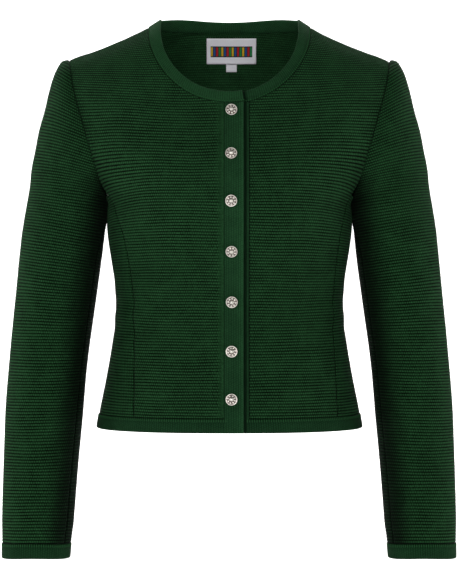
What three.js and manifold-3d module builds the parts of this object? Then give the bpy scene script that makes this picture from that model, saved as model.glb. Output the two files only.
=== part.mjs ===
// A women's fitted knit cardigan in its worn, hollow form: two fronts with a side panel each,
// a one-piece back, two set-in sleeves with a slightly raised head, folded knit bands at the
// neck, front edges, hem and cuffs, seven domed metal shank buttons, and a woven neck label
// with its size tab.
//
// Millimetres. +X is the wearer's left, -Y the front, +Z up. The origin is where the wearer
// holds the garment: midway between the two points where the shoulder seams meet the neckband.
//
// The body is a stack of rings with named sizes. Each ring is a superellipse, and above the
// chest its depth rolls over to the shoulder line, so front and back meet in the shoulder seam.
// A pattern piece is given by its four seams in flat coordinates (girth, course), filled in
// between, and wrapped on to the body; the wall is built inwards from that outer face.
import * as THREE from "three";
import Module from "manifold-3d";

// ---------------------------------------------------------------- driving dimensions
const WALL = 2; // single knit
const BAND_WALL = 3.2; // folded knit band
const BAND_PROUD = 0.6; // how far a band stands out past the panel beside it
const SEAM_GAP = 0.3;
const RING_POWER = 2.3; // 2 is an ellipse, more is squarer
const ROLL_START = { front: -110, back: -120 }; // where the depth begins to roll to the shoulder
const NECK = { half: 98, drop: 101, backRise: 2, band: 17.5 };
const NECKBAND_LEAN = { front: 0.5, shoulder: 0.84, back: 0.72 }; // 0 stands up, 1 lies level
const HEM = { bottom: -486, band: 17 };
const CUFF_BAND = 18;
const TIP = { x: 195, z: -40 }; // shoulder tip, the top of the armhole
const UNDERARM_Z = -214;
const PLACKET = {
  right: { from: -6.5, to: 16.7 }, // the upper front edge, on the wearer's right front
  left: { from: 0, to: 23 }, // the edge below it
};
const LIFT = { right: 2.6, left: -0.9, fade: 42 }; // how the fronts rise and sink at the overlap
const BUTTON = { x: 2.3, radius: 7.4, height: 5.6, shank: 1.5, clear: 0.5 };
const BUTTON_HEIGHTS = [-109.5, -162, -217, -275, -333.5, -391.5, -447.5];
const BUTTONHOLE = { length: 8, width: 3.6 };
const LABEL = { x: 2.5, top: -3, width: 63, height: 32, wall: 0.8, gap: 3.7 };
const TAB = { width: 14, top: -26, bottom: -44.5, wall: 0.5, gap: 2.9 };

// Rings of the body, from the hem up: half width, and depth in front of and behind the side seam.
const BODY_RINGS = [
  { z: -510, half: 164.0, front: 113, back: 107 },
  { z: -486, half: 161.5, front: 112, back: 106 },
  { z: -462, half: 157.3, front: 109.5, back: 103 },
  { z: -430, half: 150.8, front: 104, back: 97 },
  { z: -393, half: 144.2, front: 97, back: 89 },
  { z: -362, half: 139.9, front: 93, back: 84 },
  { z: -338, half: 138.8, front: 93, back: 82.5 },
  { z: -308, half: 140.3, front: 99.5, back: 84 },
  { z: -283, half: 144.0, front: 107, back: 88 },
  { z: -259, half: 147.6, front: 114, back: 92.5 },
  { z: -240, half: 149.2, front: 119.5, back: 96 },
  { z: -222, half: 148.6, front: 124, back: 100 },
  { z: -214, half: 148.5, front: 125, back: 101 },
  { z: -205, half: 152.0, front: 125.5, back: 102 },
  { z: -190, half: 162.0, front: 126, back: 103 },
  { z: -165, half: 180.0, front: 120.5, back: 105 },
  { z: -136, half: 197.0, front: 111, back: 105 },
  { z: -110, half: 206.0, front: 103, back: 103 },
  { z: -86, half: 212.0, front: 97.5, back: 100 },
  { z: -40, half: 220.0, front: 93, back: 95 },
  { z: 45, half: 222.0, front: 90, back: 90 },
];

// The shoulder line, and where it would run on over the neck.
const SHOULDER_LINE = [
  { x: 0, z: 36 },
  { x: 30, z: 33 },
  { x: 60, z: 22 },
  { x: 80, z: 11.5 },
  { x: 98, z: 0 },
  { x: 115, z: -7.5 },
  { x: 129, z: -14 },
  { x: 148, z: -22 },
  { x: 167, z: -29.3 },
  { x: 180, z: -33.6 },
  { x: 195, z: -40 },
  { x: 215, z: -49 },
];

// The armhole seam's distance from the middle.
const ARMHOLE = [
  { z: -214, x: 148.5 },
  { z: -210, x: 149.2 },
  { z: -205, x: 149.8 },
  { z: -198, x: 152.3 },
  { z: -190, x: 155.5 },
  { z: -165, x: 162.5 },
  { z: -136, x: 171 },
  { z: -110, x: 178.5 },
  { z: -85, x: 185.5 },
  { z: -62, x: 190.5 },
  { z: -50, x: 193 },
  { z: -40, x: 195 },
];

// The shaping seams of the two fronts; the last row is where they run into the armhole.
const SHAPING_SEAM = [
  { z: -500, right: 113, left: 129 },
  { z: -463, right: 113, left: 128 },
  { z: -413, right: 113, left: 126 },
  { z: -366, right: 114, left: 124.2 },
  { z: -330, right: 114.8, left: 124.5 },
  { z: -298, right: 117.7, left: 126.5 },
  { z: -263, right: 124, left: 130.5 },
  { z: -240, right: 131, left: 134.5 },
  { z: -217, right: 139.5, left: 141 },
  { z: -205, right: 146.5, left: 147 },
  { z: -198, right: 152.3, left: 152.3 },
];
const SEAM_TOP_Z = -198;

// Rings of the sleeve from the shoulder tip to the cuff: centre, tilt in degrees (the outer side
// is raised), half width across and half depth from front to back.
const SLEEVE_RINGS = [
  { x: 195.0, y: 0, z: -40, tilt: 20, across: 0.5, deep: 1 },
  { x: 194.0, y: 0, z: -44, tilt: 21, across: 9.2, deep: 17.5 },
  { x: 192.0, y: 0, z: -57, tilt: 34, across: 18.8, deep: 34.5 },
  { x: 189.2, y: 0, z: -75.1, tilt: 35, across: 29.5, deep: 47.6 },
  { x: 185.2, y: 0, z: -98.3, tilt: 32, across: 40, deep: 57.4 },
  { x: 180.9, y: 0, z: -123.8, tilt: 28, across: 49.5, deep: 62.3 },
  { x: 180.6, y: 0, z: -148.5, tilt: 24, across: 56, deep: 62.6 },
  { x: 185.3, y: 0, z: -169.4, tilt: 20, across: 54.6, deep: 60.5 },
  { x: 193.4, y: 1, z: -186.4, tilt: 16, across: 49.5, deep: 58.5 },
  { x: 195.9, y: 1, z: -203.6, tilt: 12.5, across: 48.3, deep: 57.5 },
  { x: 203.7, y: 2, z: -259, tilt: 9, across: 49.8, deep: 56.5 },
  { x: 212.2, y: 0, z: -332, tilt: 7, across: 48.6, deep: 54 },
  { x: 219.0, y: -5, z: -393, tilt: 5.5, across: 47.3, deep: 51 },
  { x: 224.0, y: -12, z: -454, tilt: 4, across: 46.3, deep: 47.5 },
  { x: 227.3, y: -22, z: -515, tilt: 2.5, across: 44.2, deep: 43 },
  { x: 229.8, y: -33, z: -576, tilt: 1, across: 42.4, deep: 38.5 },
  { x: 231.5, y: -44, z: -635.5, tilt: 0, across: 40.4, deep: 34 },
];

const RELAX_PASSES = 300; // for evening out the grids
const ROW_GROWTH = 1.35; // how much closer the sleeve's rows lie at its head

// How finely each seam is divided. Pieces that share a seam share its points.
const STEPS = { neckFront: 10, neckBack: 6, shoulder: 5, shapingSeam: 13, armholeFront: 8, armholeSide: 4, side: 4, back: 10, sleeve: 20 };

// ---------------------------------------------------------------- small helpers
const lerp = THREE.MathUtils.lerp;
const clamp = THREE.MathUtils.clamp;
const rad = THREE.MathUtils.degToRad;
const steps = (n) => Array.from({ length: n + 1 }, (_, i) => i / n);
const vec = (x, y, z) => new THREE.Vector3(x, y, z);

// A smooth curve through a table's rows: column over key, with slopes from the neighbours.
function curveOf(rows, key, column) {
  const at = rows.map((r) => r[key]);
  const value = rows.map((r) => r[column]);
  const last = rows.length - 1;
  const slope = at.map((_, i) => {
    const a = Math.max(i - 1, 0);
    const b = Math.min(i + 1, last);
    return (value[b] - value[a]) / (at[b] - at[a]);
  });
  return (x) => {
    const t = clamp(x, at[0], at[last]);
    let i = 0;
    while (i < last - 1 && t > at[i + 1]) i++;
    const span = at[i + 1] - at[i];
    const f = (t - at[i]) / span;
    const g = 1 - f;
    return (
      value[i] * g * g * (1 + 2 * f) +
      value[i + 1] * f * f * (1 + 2 * g) +
      span * f * g * (slope[i] * g - slope[i + 1] * f)
    );
  };
}

// The value in [low, high] where a test turns from true to false.
function edgeOf(test, low, high) {
  for (let i = 0; i < 40; i++) {
    const middle = (low + high) / 2;
    if (test(middle)) low = middle;
    else high = middle;
  }
  return low;
}

// ---------------------------------------------------------------- the worn body
const ringHalf = curveOf(BODY_RINGS, "z", "half");
const ringDepth = { front: curveOf(BODY_RINGS, "z", "front"), back: curveOf(BODY_RINGS, "z", "back") };
const shoulderLine = curveOf(SHOULDER_LINE, "x", "z");
const armholeX = curveOf(ARMHOLE, "z", "x");
const shapingSeamX = { right: curveOf(SHAPING_SEAM, "z", "right"), left: curveOf(SHAPING_SEAM, "z", "left") };

// Share of the climb from the roll's start to the shoulder line, 0 below the roll.
function climbOf(x, z, face) {
  const start = ROLL_START[face];
  return Math.max(0, (z - start) / (shoulderLine(Math.abs(x)) - start));
}

// The body's depth at a place in the front view, as a signed y.
function depthAt(x, z, face) {
  const share = Math.min(1, Math.abs(x) / ringHalf(z));
  const across = Math.pow(1 - Math.pow(share, RING_POWER), 1 / RING_POWER);
  const climb = Math.min(1, climbOf(x, z, face));
  const y = ringDepth[face](z) * across * Math.sqrt(1 - climb * climb);
  return face === "front" ? -y : y;
}

// The body's outward normal, from a function that is 0 on its surface.
function bodyNormal(p) {
  const face = p.y <= 0 ? "front" : "back";
  const level = (x, y, z) => {
    const share = Math.min(1, Math.abs(x) / ringHalf(z));
    const across = Math.pow(1 - Math.pow(share, RING_POWER), 2 / RING_POWER);
    const climb = climbOf(x, z, face);
    return Math.pow(y / ringDepth[face](z), 2) - (1 - climb * climb) * across;
  };
  const e = 0.05;
  return vec(
    level(p.x + e, p.y, p.z) - level(p.x - e, p.y, p.z),
    level(p.x, p.y + e, p.z) - level(p.x, p.y - e, p.z),
    level(p.x, p.y, p.z + e) - level(p.x, p.y, p.z - e),
  ).normalize();
}

// Lengths along the body's profile at one x, from the roll's start up to the shoulder line.
const PROFILE_STEPS = 36;
const profiles = new Map();
function profileOf(x, face) {
  const key = face + Math.abs(x).toFixed(2);
  if (!profiles.has(key)) {
    const start = ROLL_START[face];
    const rows = steps(PROFILE_STEPS).map((f) => {
      const z = lerp(start, shoulderLine(Math.abs(x)), Math.sin((f * Math.PI) / 2));
      return { z, y: depthAt(x, z, face), course: start };
    });
    for (let i = 1; i < rows.length; i++) {
      const step = Math.hypot(rows[i].y - rows[i - 1].y, rows[i].z - rows[i - 1].z);
      rows[i].course = rows[i - 1].course + step;
    }
    profiles.set(key, rows);
  }
  return profiles.get(key);
}

// Reads one column of a profile against another, both rising.
function readProfile(rows, from, to, value) {
  let i = 0;
  while (i < rows.length - 2 && value > rows[i + 1][from]) i++;
  const span = rows[i + 1][from] - rows[i][from];
  const f = span > 0 ? clamp((value - rows[i][from]) / span, 0, 1) : 0;
  return lerp(rows[i][to], rows[i + 1][to], f);
}

// Flat coordinates of a place in the front view: girth, 0 at the centre and 1 at the side seam,
// and course, the height up the cloth.
function flatOf(x, z, face) {
  const share = Math.min(1, Math.abs(x) / ringHalf(z));
  const girth = Math.sign(x) * (Math.asin(Math.pow(share, RING_POWER / 2)) / (Math.PI / 2));
  const course = z <= ROLL_START[face] ? z : readProfile(profileOf(x, face), "z", "course", z);
  return { girth, course };
}

// Where a point of the flat cloth lies when the garment is worn.
function worn(flat, face) {
  const swing = Math.pow(Math.sin((Math.abs(flat.girth) * Math.PI) / 2), 2 / RING_POWER);
  const side = Math.sign(flat.girth) || 1;
  let z = flat.course;
  let x = ringHalf(z) * swing;
  if (flat.course > ROLL_START[face])
    for (let i = 0; i < 12; i++) {
      z = readProfile(profileOf(x, face), "course", "z", flat.course);
      x = ringHalf(z) * swing;
    }
  return vec(side * x, depthAt(x, z, face), z);
}

// Extra height off the body near the front edges, where the right front lies on the left one.
function overlapLift(x, layer) {
  const edge = layer === "right" ? PLACKET.right.from : -PLACKET.left.to;
  const away = layer === "right" ? edge - x : edge + x;
  return LIFT[layer] * (1 - THREE.MathUtils.smoothstep(away, 0, LIFT.fade));
}

// ---------------------------------------------------------------- seams in the front view
const neckZ = (x) => -NECK.drop * Math.sqrt(1 - (x / NECK.half) ** 2);
const neckAngle = (x) => Math.asin(x / NECK.half);

// The neckline by its angle from the front centre; past a quarter turn it runs round the back.
function neckPoint(angle) {
  const x = NECK.half * Math.sin(angle);
  const inFront = Math.cos(angle) >= 0;
  const z = inFront ? -NECK.drop * Math.cos(angle) : NECK.backRise * Math.cos(angle) ** 2;
  return { x, z, face: inFront ? "front" : "back" };
}

const neckEdge = (angle) => {
  const { x, z, face } = neckPoint(angle);
  return vec(x, depthAt(x, z, face), z);
};

// Angles that divide the neckline into n equal lengths.
function neckAngles(from, to, n) {
  const fine = steps(200).map((f) => ({ angle: lerp(from, to, f), length: 0 }));
  for (let i = 1; i < fine.length; i++)
    fine[i].length = fine[i - 1].length + neckEdge(fine[i].angle).distanceTo(neckEdge(fine[i - 1].angle));
  return steps(n).map((f) => readProfile(fine, "length", "angle", f * fine.at(-1).length));
}

// The armhole's height by its share from the underarm, 0, to the shoulder tip, 1.
const armholeZ = (share) => lerp(UNDERARM_Z, TIP.z, (1 - Math.cos(Math.PI * share)) / 2);
const SEAM_TOP_SHARE = edgeOf((s) => armholeZ(s) < SEAM_TOP_Z, 0, 1);

const flatPath = (places, face) => places.map(([x, z]) => flatOf(x, z, face));

// ---------------------------------------------------------------- cloth pieces
// Fills a piece between its four seams. Each seam is a list of flat points, and opposite seams
// have as many points as each other.
function fillPiece({ bottom, top, start, end }) {
  const mix = (a, b, f) => ({ girth: lerp(a.girth, b.girth, f), course: lerp(a.course, b.course, f) });
  const grid = bottom.map((_, i) => {
    const u = i / (bottom.length - 1);
    return start.map((__, j) => {
      const v = j / (start.length - 1);
      const along = mix(bottom[i], top[i], v);
      const across = mix(start[j], end[j], u);
      const corners = mix(mix(bottom[0], bottom.at(-1), u), mix(top[0], top.at(-1), u), v);
      return {
        girth: along.girth + across.girth - corners.girth,
        course: along.course + across.course - corners.course,
      };
    });
  });
  return relaxed(grid);
}

// Evens out the inside of a flat grid, whose edges stay as they are: each place moves to the
// middle of its four neighbours. With `turn` the columns go round a tube, and the first column
// follows the last one with its angle a turn further on.
function relaxed(grid, turn = 0) {
  const nu = grid.length;
  const nv = grid[0].length;
  const keys = Object.keys(grid[0][0]);
  for (let pass = 0; pass < RELAX_PASSES; pass++)
    for (let i = turn ? 0 : 1; i < (turn ? nu : nu - 1); i++)
      for (let j = 1; j < nv - 1; j++)
        for (const key of keys) {
          const wrap = key === "angle" ? turn : 0;
          const before = i ? grid[i - 1][j][key] : grid[nu - 1][j][key] - wrap;
          const after = i < nu - 1 ? grid[i + 1][j][key] : grid[0][j][key] + wrap;
          grid[i][j][key] = (before + after + grid[i][j - 1][key] + grid[i][j + 1][key]) / 4;
        }
  return grid;
}

// A grid of points with their outward normals, from a grid of flat points.
function wrapPiece(flat, face, layer) {
  return flat.map((column) =>
    column.map((f) => {
      const point = worn(f, face);
      const normal = bodyNormal(point);
      if (layer) point.addScaledVector(normal, overlapLift(point.x, layer));
      return { point, normal };
    }),
  );
}

// Draws the open edges of a grid back by half the seam gap, in the cloth's own plane.
function trimSeams(grid, edges = ["start", "end", "bottom", "top"], by = SEAM_GAP / 2) {
  const nu = grid.length - 1;
  const nv = grid[0].length - 1;
  const moved = grid.map((column) => column.map((g) => ({ ...g, point: g.point.clone() })));
  const pull = (i, j, di, dj) => {
    const a = grid[clamp(i + dj, 0, nu)][clamp(j + di, 0, nv)].point;
    const b = grid[clamp(i - dj, 0, nu)][clamp(j - di, 0, nv)].point;
    const inward = a.clone().sub(b).cross(grid[i][j].normal).normalize();
    const towards = grid[i + di][j + dj].point.clone().sub(grid[i][j].point);
    if (inward.dot(towards) < 0) inward.negate();
    moved[i][j].point.addScaledVector(inward, by);
  };
  for (let j = 0; j <= nv; j++) {
    if (edges.includes("start")) pull(0, j, 1, 0);
    if (edges.includes("end")) pull(nu, j, -1, 0);
  }
  for (let i = 0; i <= nu; i++) {
    if (edges.includes("bottom")) pull(i, 0, 0, 1);
    if (edges.includes("top")) pull(i, nv, 0, -1);
  }
  return moved;
}

// A closed wall from a grid: its outer face lies `out` off the grid and its inner face `inn` in.
// With `round`, the last column joins the first, as on a tube.
function wallOf(grid, out, inn, round = false) {
  const nu = grid.length;
  const nv = grid[0].length;
  const positions = [];
  for (const offset of [out, -inn])
    for (const column of grid)
      for (const { point, normal } of column) {
        const p = point.clone().addScaledVector(normal, offset);
        positions.push(p.x, p.y, p.z);
      }
  const at = (i, j, inner) => (inner ? nu * nv : 0) + (i % nu) * nv + j;
  const faces = [];
  const quad = (a, b, c, d) => faces.push(a, b, c, a, c, d);
  const columns = round ? nu : nu - 1;
  for (let i = 0; i < columns; i++)
    for (let j = 0; j < nv - 1; j++) {
      quad(at(i, j), at(i + 1, j), at(i + 1, j + 1), at(i, j + 1));
      quad(at(i, j + 1, 1), at(i + 1, j + 1, 1), at(i + 1, j, 1), at(i, j, 1));
    }
  for (let i = 0; i < columns; i++) {
    quad(at(i, 0), at(i, 0, 1), at(i + 1, 0, 1), at(i + 1, 0));
    quad(at(i, nv - 1), at(i + 1, nv - 1), at(i + 1, nv - 1, 1), at(i, nv - 1, 1));
  }
  if (!round)
    for (let j = 0; j < nv - 1; j++) {
      quad(at(0, j), at(0, j + 1), at(0, j + 1, 1), at(0, j, 1));
      quad(at(nu - 1, j), at(nu - 1, j, 1), at(nu - 1, j + 1, 1), at(nu - 1, j + 1));
    }
  return facingOut(positions, faces);
}

// Turns the faces round if they point inwards.
function facingOut(positions, faces) {
  let volume = 0;
  const corner = (k) => vec(positions[3 * k], positions[3 * k + 1], positions[3 * k + 2]);
  for (let i = 0; i < faces.length; i += 3)
    volume += corner(faces[i]).dot(corner(faces[i + 1]).cross(corner(faces[i + 2])));
  if (volume < 0) for (let i = 0; i < faces.length; i += 3) [faces[i], faces[i + 1]] = [faces[i + 1], faces[i]];
  const geometry = new THREE.BufferGeometry();
  geometry.setAttribute("position", new THREE.Float32BufferAttribute(positions, 3));
  geometry.setIndex(faces);
  geometry.computeVertexNormals();
  return geometry;
}

// ---------------------------------------------------------------- materials
const knit = new THREE.MeshStandardMaterial({ name: "knit", color: 0x1b4022, roughness: 0.95, metalness: 0 });
const knitBand = new THREE.MeshStandardMaterial({ name: "knit_band", color: 0x1d4526, roughness: 0.95, metalness: 0 });
const metal = new THREE.MeshStandardMaterial({ name: "metal", color: 0xb8b2a6, roughness: 0.35, metalness: 1 });
const woven = new THREE.MeshStandardMaterial({ name: "woven_label", color: 0xe2e1e4, roughness: 0.8, metalness: 0 });

const cardigan = new THREE.Group();
function add(name, geometry, material) {
  const mesh = new THREE.Mesh(geometry, material);
  mesh.name = name;
  cardigan.add(mesh);
  return mesh;
}

// ---------------------------------------------------------------- fronts
const sideSign = { right: -1, left: 1 };
const hemTop = HEM.bottom + HEM.band;
const shapingLevels = steps(STEPS.shapingSeam).map((f) => lerp(hemTop, SEAM_TOP_Z, f));
const frontRows = STEPS.shapingSeam + STEPS.armholeFront;

function frontPiece(side) {
  const sign = sideSign[side];
  const edgeX = side === "right" ? PLACKET.right.from : PLACKET.left.to;
  const openX = sign * edgeX;
  const inX = Math.abs(openX);
  const columns = STEPS.neckFront + STEPS.shoulder;
  const seamX = shapingSeamX[side];
  const armholeShares = steps(STEPS.armholeFront).slice(1).map((f) => lerp(SEAM_TOP_SHARE, 1, f));
  const start = flatPath(steps(frontRows).map((f) => [inX, lerp(hemTop, neckZ(inX), f)]), "front");
  const end = flatPath(
    [...shapingLevels.map((z) => [seamX(z), z]), ...armholeShares.map(armholeZ).map((z) => [armholeX(z), z])],
    "front",
  );
  const bottom = steps(columns).map((f) => ({
    girth: lerp(start[0].girth, end[0].girth, f),
    course: hemTop,
  }));
  const shoulderXs = steps(STEPS.shoulder).slice(1).map((f) => lerp(NECK.half, TIP.x, f));
  const top = flatPath(
    [
      ...neckAngles(neckAngle(inX), Math.PI / 2, STEPS.neckFront).map(neckPoint).map((p) => [p.x, p.z]),
      ...shoulderXs.map((x) => [x, shoulderLine(x)]),
    ],
    "front",
  );
  const flat = fillPiece({ bottom, top, start, end });
  const signed = flat.map((column) => column.map((f) => ({ ...f, girth: sign * f.girth })));
  return wrapPiece(signed, "front", side);
}

// ---------------------------------------------------------------- side panels
function sidePanel(side) {
  const sign = sideSign[side];
  const seamX = shapingSeamX[side];
  const start = flatPath(shapingLevels.map((z) => [seamX(z), z]), "front");
  const end = steps(STEPS.shapingSeam).map((f) => ({ girth: 1, course: lerp(hemTop, UNDERARM_Z, f) }));
  const bottom = steps(STEPS.side).map((f) => ({ girth: lerp(start[0].girth, 1, f), course: hemTop }));
  const shares = steps(STEPS.armholeSide).map((f) => lerp(SEAM_TOP_SHARE, 0, f));
  const top = flatPath(shares.map(armholeZ).map((z) => [armholeX(z), z]), "front");
  const flat = fillPiece({ bottom, top, start, end });
  const signed = flat.map((column) => column.map((f) => ({ ...f, girth: sign * f.girth })));
  return wrapPiece(signed, "front");
}

// ---------------------------------------------------------------- back
function backPiece() {
  const half = STEPS.neckBack + STEPS.shoulder;
  const armholeShares = steps(STEPS.back).slice(1);
  const sideLevels = steps(STEPS.shapingSeam).map((f) => lerp(hemTop, UNDERARM_Z, f));
  const end = [
    ...sideLevels.map((z) => ({ girth: 1, course: z })),
    ...flatPath(armholeShares.map(armholeZ).map((z) => [armholeX(z), z]), "back"),
  ];
  const neckPlaces = neckAngles(Math.PI, Math.PI / 2, STEPS.neckBack).map(neckPoint);
  const shoulderXs = steps(STEPS.shoulder).slice(1).map((f) => lerp(NECK.half, TIP.x, f));
  const halfTop = flatPath(
    [...neckPlaces.map((p) => [Math.abs(p.x), p.z]), ...shoulderXs.map((x) => [x, shoulderLine(x)])],
    "back",
  );
  const mirrored = (list) => list.map((f) => ({ ...f, girth: -f.girth }));
  const top = [...mirrored(halfTop).reverse(), ...halfTop.slice(1)];
  const bottom = steps(2 * half).map((f) => ({ girth: lerp(-1, 1, f), course: hemTop }));
  return wrapPiece(fillPiece({ bottom, top, start: mirrored(end), end }), "back");
}

const front = { right: frontPiece("right"), left: frontPiece("left") };
const sidePiece = { right: sidePanel("right"), left: sidePanel("left") };
const back = backPiece();

// ---------------------------------------------------------------- hem band
// One strip from the right front edge round the back to the left one, under the panels' ends.
const hemColumns = [
  ...front.right.map((c) => c[0]),
  ...sidePiece.right.map((c) => c[0]).slice(1),
  ...back.map((c) => c[0]).slice(1),
  ...sidePiece.left.map((c) => c[0]).reverse().slice(1),
  ...front.left.map((c) => c[0]).reverse().slice(1),
];
const hemLayer = (i) => (i < front.right.length ? "right" : i >= hemColumns.length - front.left.length ? "left" : null);
const HEM_ROWS = [0, 0.5, 1];
const hemBand = hemColumns.map((top, i) => {
  const face = i < front.right.length + STEPS.side || hemLayer(i) || i >= hemColumns.length - front.left.length - STEPS.side
    ? "front"
    : "back";
  const layer = hemLayer(i);
  const girth = flatOf(top.point.x, hemTop, face).girth;
  return HEM_ROWS.map((f) => {
    if (f === 0) return top;
    return wrapPiece([[{ girth, course: lerp(hemTop, HEM.bottom, f) }]], face, layer)[0][0];
  });
});
add("hem_band", wallOf(trimSeams(hemBand, ["start", "end", "bottom"]), BAND_PROUD, BAND_WALL - BAND_PROUD), knitBand);

// ---------------------------------------------------------------- front edge bands
function placket(side) {
  const { from, to } = PLACKET[side];
  const levels = [HEM.bottom, (HEM.bottom + hemTop) / 2];
  const grid = steps(2).map((f) => {
    const x = lerp(from, to, f);
    const zs = [...levels, ...steps(frontRows).map((v) => lerp(hemTop, neckZ(x), v))];
    return zs.map((z) => {
      const point = vec(x, depthAt(x, z, "front"), z);
      const normal = bodyNormal(point);
      return { point: point.addScaledVector(normal, LIFT[side]), normal };
    });
  });
  return wallOf(trimSeams(grid), BAND_PROUD, BAND_WALL - BAND_PROUD);
}

// ---------------------------------------------------------------- neckband
// A strip from the right front edge over both shoulders to the left front edge.
function neckband() {
  const turn = 2 * Math.PI;
  const rightStart = -neckAngle(-PLACKET.right.from);
  const leftEnd = neckAngle(PLACKET.left.to) - turn;
  const span = (a, b, n) => neckAngles(a, b, n).slice(1);
  const angles = [
    neckAngle(PLACKET.right.to),
    ...span(neckAngle(PLACKET.right.to), rightStart, 2),
    ...span(rightStart, -Math.PI / 2, STEPS.neckFront),
    ...span(-Math.PI / 2, -Math.PI, STEPS.neckBack),
    ...span(-Math.PI, -1.5 * Math.PI, STEPS.neckBack),
    ...span(-1.5 * Math.PI, leftEnd, STEPS.neckFront),
    ...span(leftEnd, -turn, 2),
  ];
  const grid = angles.map((angle) => {
    const foot = neckEdge(angle);
    const along = neckEdge(angle + 0.01).sub(neckEdge(angle - 0.01)).normalize();
    const { face } = neckPoint(angle);
    const inShare = lerp(NECKBAND_LEAN[face], NECKBAND_LEAN.shoulder, Math.sin(angle) ** 2);
    const inward = vec(-foot.x, -15 - foot.y, 0).normalize();
    const rise = inward.multiplyScalar(inShare).add(vec(0, 0, Math.sqrt(1 - inShare ** 2)));
    const normal = rise.clone().cross(along).normalize();
    if (normal.dot(bodyNormal(foot)) < 0) normal.negate();
    const layer = angle > -Math.PI / 2 ? "right" : angle < -1.5 * Math.PI ? "left" : null;
    const body = bodyNormal(foot);
    if (layer) foot.addScaledVector(body, overlapLift(foot.x, layer));
    return steps(2).map((f) => ({
      point: foot.clone().addScaledVector(rise, f * NECK.band),
      normal: f ? normal : body,
    }));
  });
  return wallOf(trimSeams(grid, ["bottom"], SEAM_GAP), BAND_PROUD, BAND_WALL - BAND_PROUD);
}
add("neckband", neckband(), knitBand);

// ---------------------------------------------------------------- sleeves
const sleeveColumn = (column) => curveOf(SLEEVE_RINGS, "length", column);
// A ring's place along the sleeve is the length of a line that runs in its outer half.
SLEEVE_RINGS.forEach((ring, i) => {
  const reach = 0.6 * ring.across;
  ring.lineX = ring.x + reach * Math.cos(rad(ring.tilt));
  ring.lineZ = ring.z + reach * Math.sin(rad(ring.tilt));
  const before = SLEEVE_RINGS[i - 1];
  ring.length = i ? before.length + Math.hypot(ring.lineX - before.lineX, ring.lineZ - before.lineZ) : 0;
});
const sleeveRing = Object.fromEntries(
  ["x", "y", "z", "tilt", "across", "deep"].map((column) => [column, sleeveColumn(column)]),
);
const SLEEVE_LENGTH = SLEEVE_RINGS.at(-1).length;

function ringFrame(length) {
  const tilt = rad(sleeveRing.tilt(length));
  return {
    centre: vec(sleeveRing.x(length), sleeveRing.y(length), sleeveRing.z(length)),
    outward: vec(Math.cos(tilt), 0, Math.sin(tilt)),
    forward: vec(0, -1, 0),
    down: vec(Math.sin(tilt), 0, -Math.cos(tilt)),
  };
}

const plainRadius = (angle, length) =>
  1 / Math.hypot(Math.cos(angle) / sleeveRing.across(length), Math.sin(angle) / sleeveRing.deep(length));

// The armhole seam in the sleeve's own terms: length along it, angle round it and radius.
function seamOnSleeve(place) {
  const away = (length) => {
    const ring = ringFrame(length);
    return place.clone().sub(ring.centre).dot(ring.down) > 0;
  };
  const length = edgeOf(away, 0, SLEEVE_LENGTH);
  const ring = ringFrame(length);
  const from = place.clone().sub(ring.centre);
  const out = from.dot(ring.outward);
  const fore = from.dot(ring.forward);
  return { length, angle: Math.atan2(fore, out), radius: Math.hypot(out, fore) };
}

const armholePlace = (share, face) => {
  const z = armholeZ(share);
  return vec(armholeX(z), depthAt(armholeX(z), z, face), z);
};
const SEAM_SAMPLES = 48;
const armholeSeam = Object.fromEntries(
  ["front", "back"].map((face) => [
    face,
    steps(SEAM_SAMPLES)
      .map((f) => seamOnSleeve(armholePlace(1 - f, face)))
      .map((s) => ({ ...s, angle: Math.abs(s.angle) })),
  ]),
);
const underarmLength = armholeSeam.front.at(-1).length;
const SNAP = { angle: rad(75), length: 60 }; // how far the seam's pull reaches into the sleeve

function readSeam(face, column, length) {
  return readProfile(armholeSeam[face], "length", column, clamp(length, 0, underarmLength));
}

// A point of the right-hand-side sleeve (x > 0): angle 0 is outward, a quarter turn the front.
function sleevePoint(angle, length) {
  const ring = ringFrame(length);
  let radius = plainRadius(angle, length);
  const below = clamp((length - underarmLength) / SNAP.length, 0, 1);
  const face = Math.sin(angle) >= 0 ? "front" : "back";
  const turn = Math.acos(Math.cos(angle));
  const seamAngle = readSeam(face, "angle", length);
  const reach = clamp(1 - Math.abs(seamAngle - turn) / SNAP.angle, 0, 1);
  const pull = readSeam(face, "radius", length) - plainRadius(seamAngle, Math.min(length, underarmLength));
  radius += pull * reach * reach * (1 - below) ** 2;
  return ring.centre
    .addScaledVector(ring.outward, radius * Math.cos(angle))
    .addScaledVector(ring.forward, radius * Math.sin(angle));
}

function sleeveNode(angle, length) {
  const da = sleevePoint(angle + 0.01, length).sub(sleevePoint(angle - 0.01, length));
  const dl = sleevePoint(angle, length + 0.5).sub(sleevePoint(angle, Math.max(0, length - 0.5)));
  const normal = dl.cross(da).normalize();
  const ring = ringFrame(length);
  const out = ring.outward.multiplyScalar(Math.cos(angle)).addScaledVector(ring.forward, Math.sin(angle));
  if (normal.dot(out) < 0) normal.negate();
  return { point: sleevePoint(angle, length), normal };
}

// The armhole's points in order round it, from the tip down the front and up the back.
const armholeRound = [
  ...steps(STEPS.armholeFront).map((f) => ["front", lerp(1, SEAM_TOP_SHARE, f)]),
  ...steps(STEPS.armholeSide).slice(1).map((f) => ["front", lerp(SEAM_TOP_SHARE, 0, f)]),
  ...steps(STEPS.back).slice(1, -1).map((f) => ["back", f]),
];

// The angle each of the armhole's points settles to further down the sleeve.
const FRONT_STEPS = STEPS.armholeFront + STEPS.armholeSide;
const settledAngle = (i) =>
  i <= FRONT_STEPS ? (Math.PI * i) / FRONT_STEPS : Math.PI * (1 + (i - FRONT_STEPS) / STEPS.back);

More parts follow.
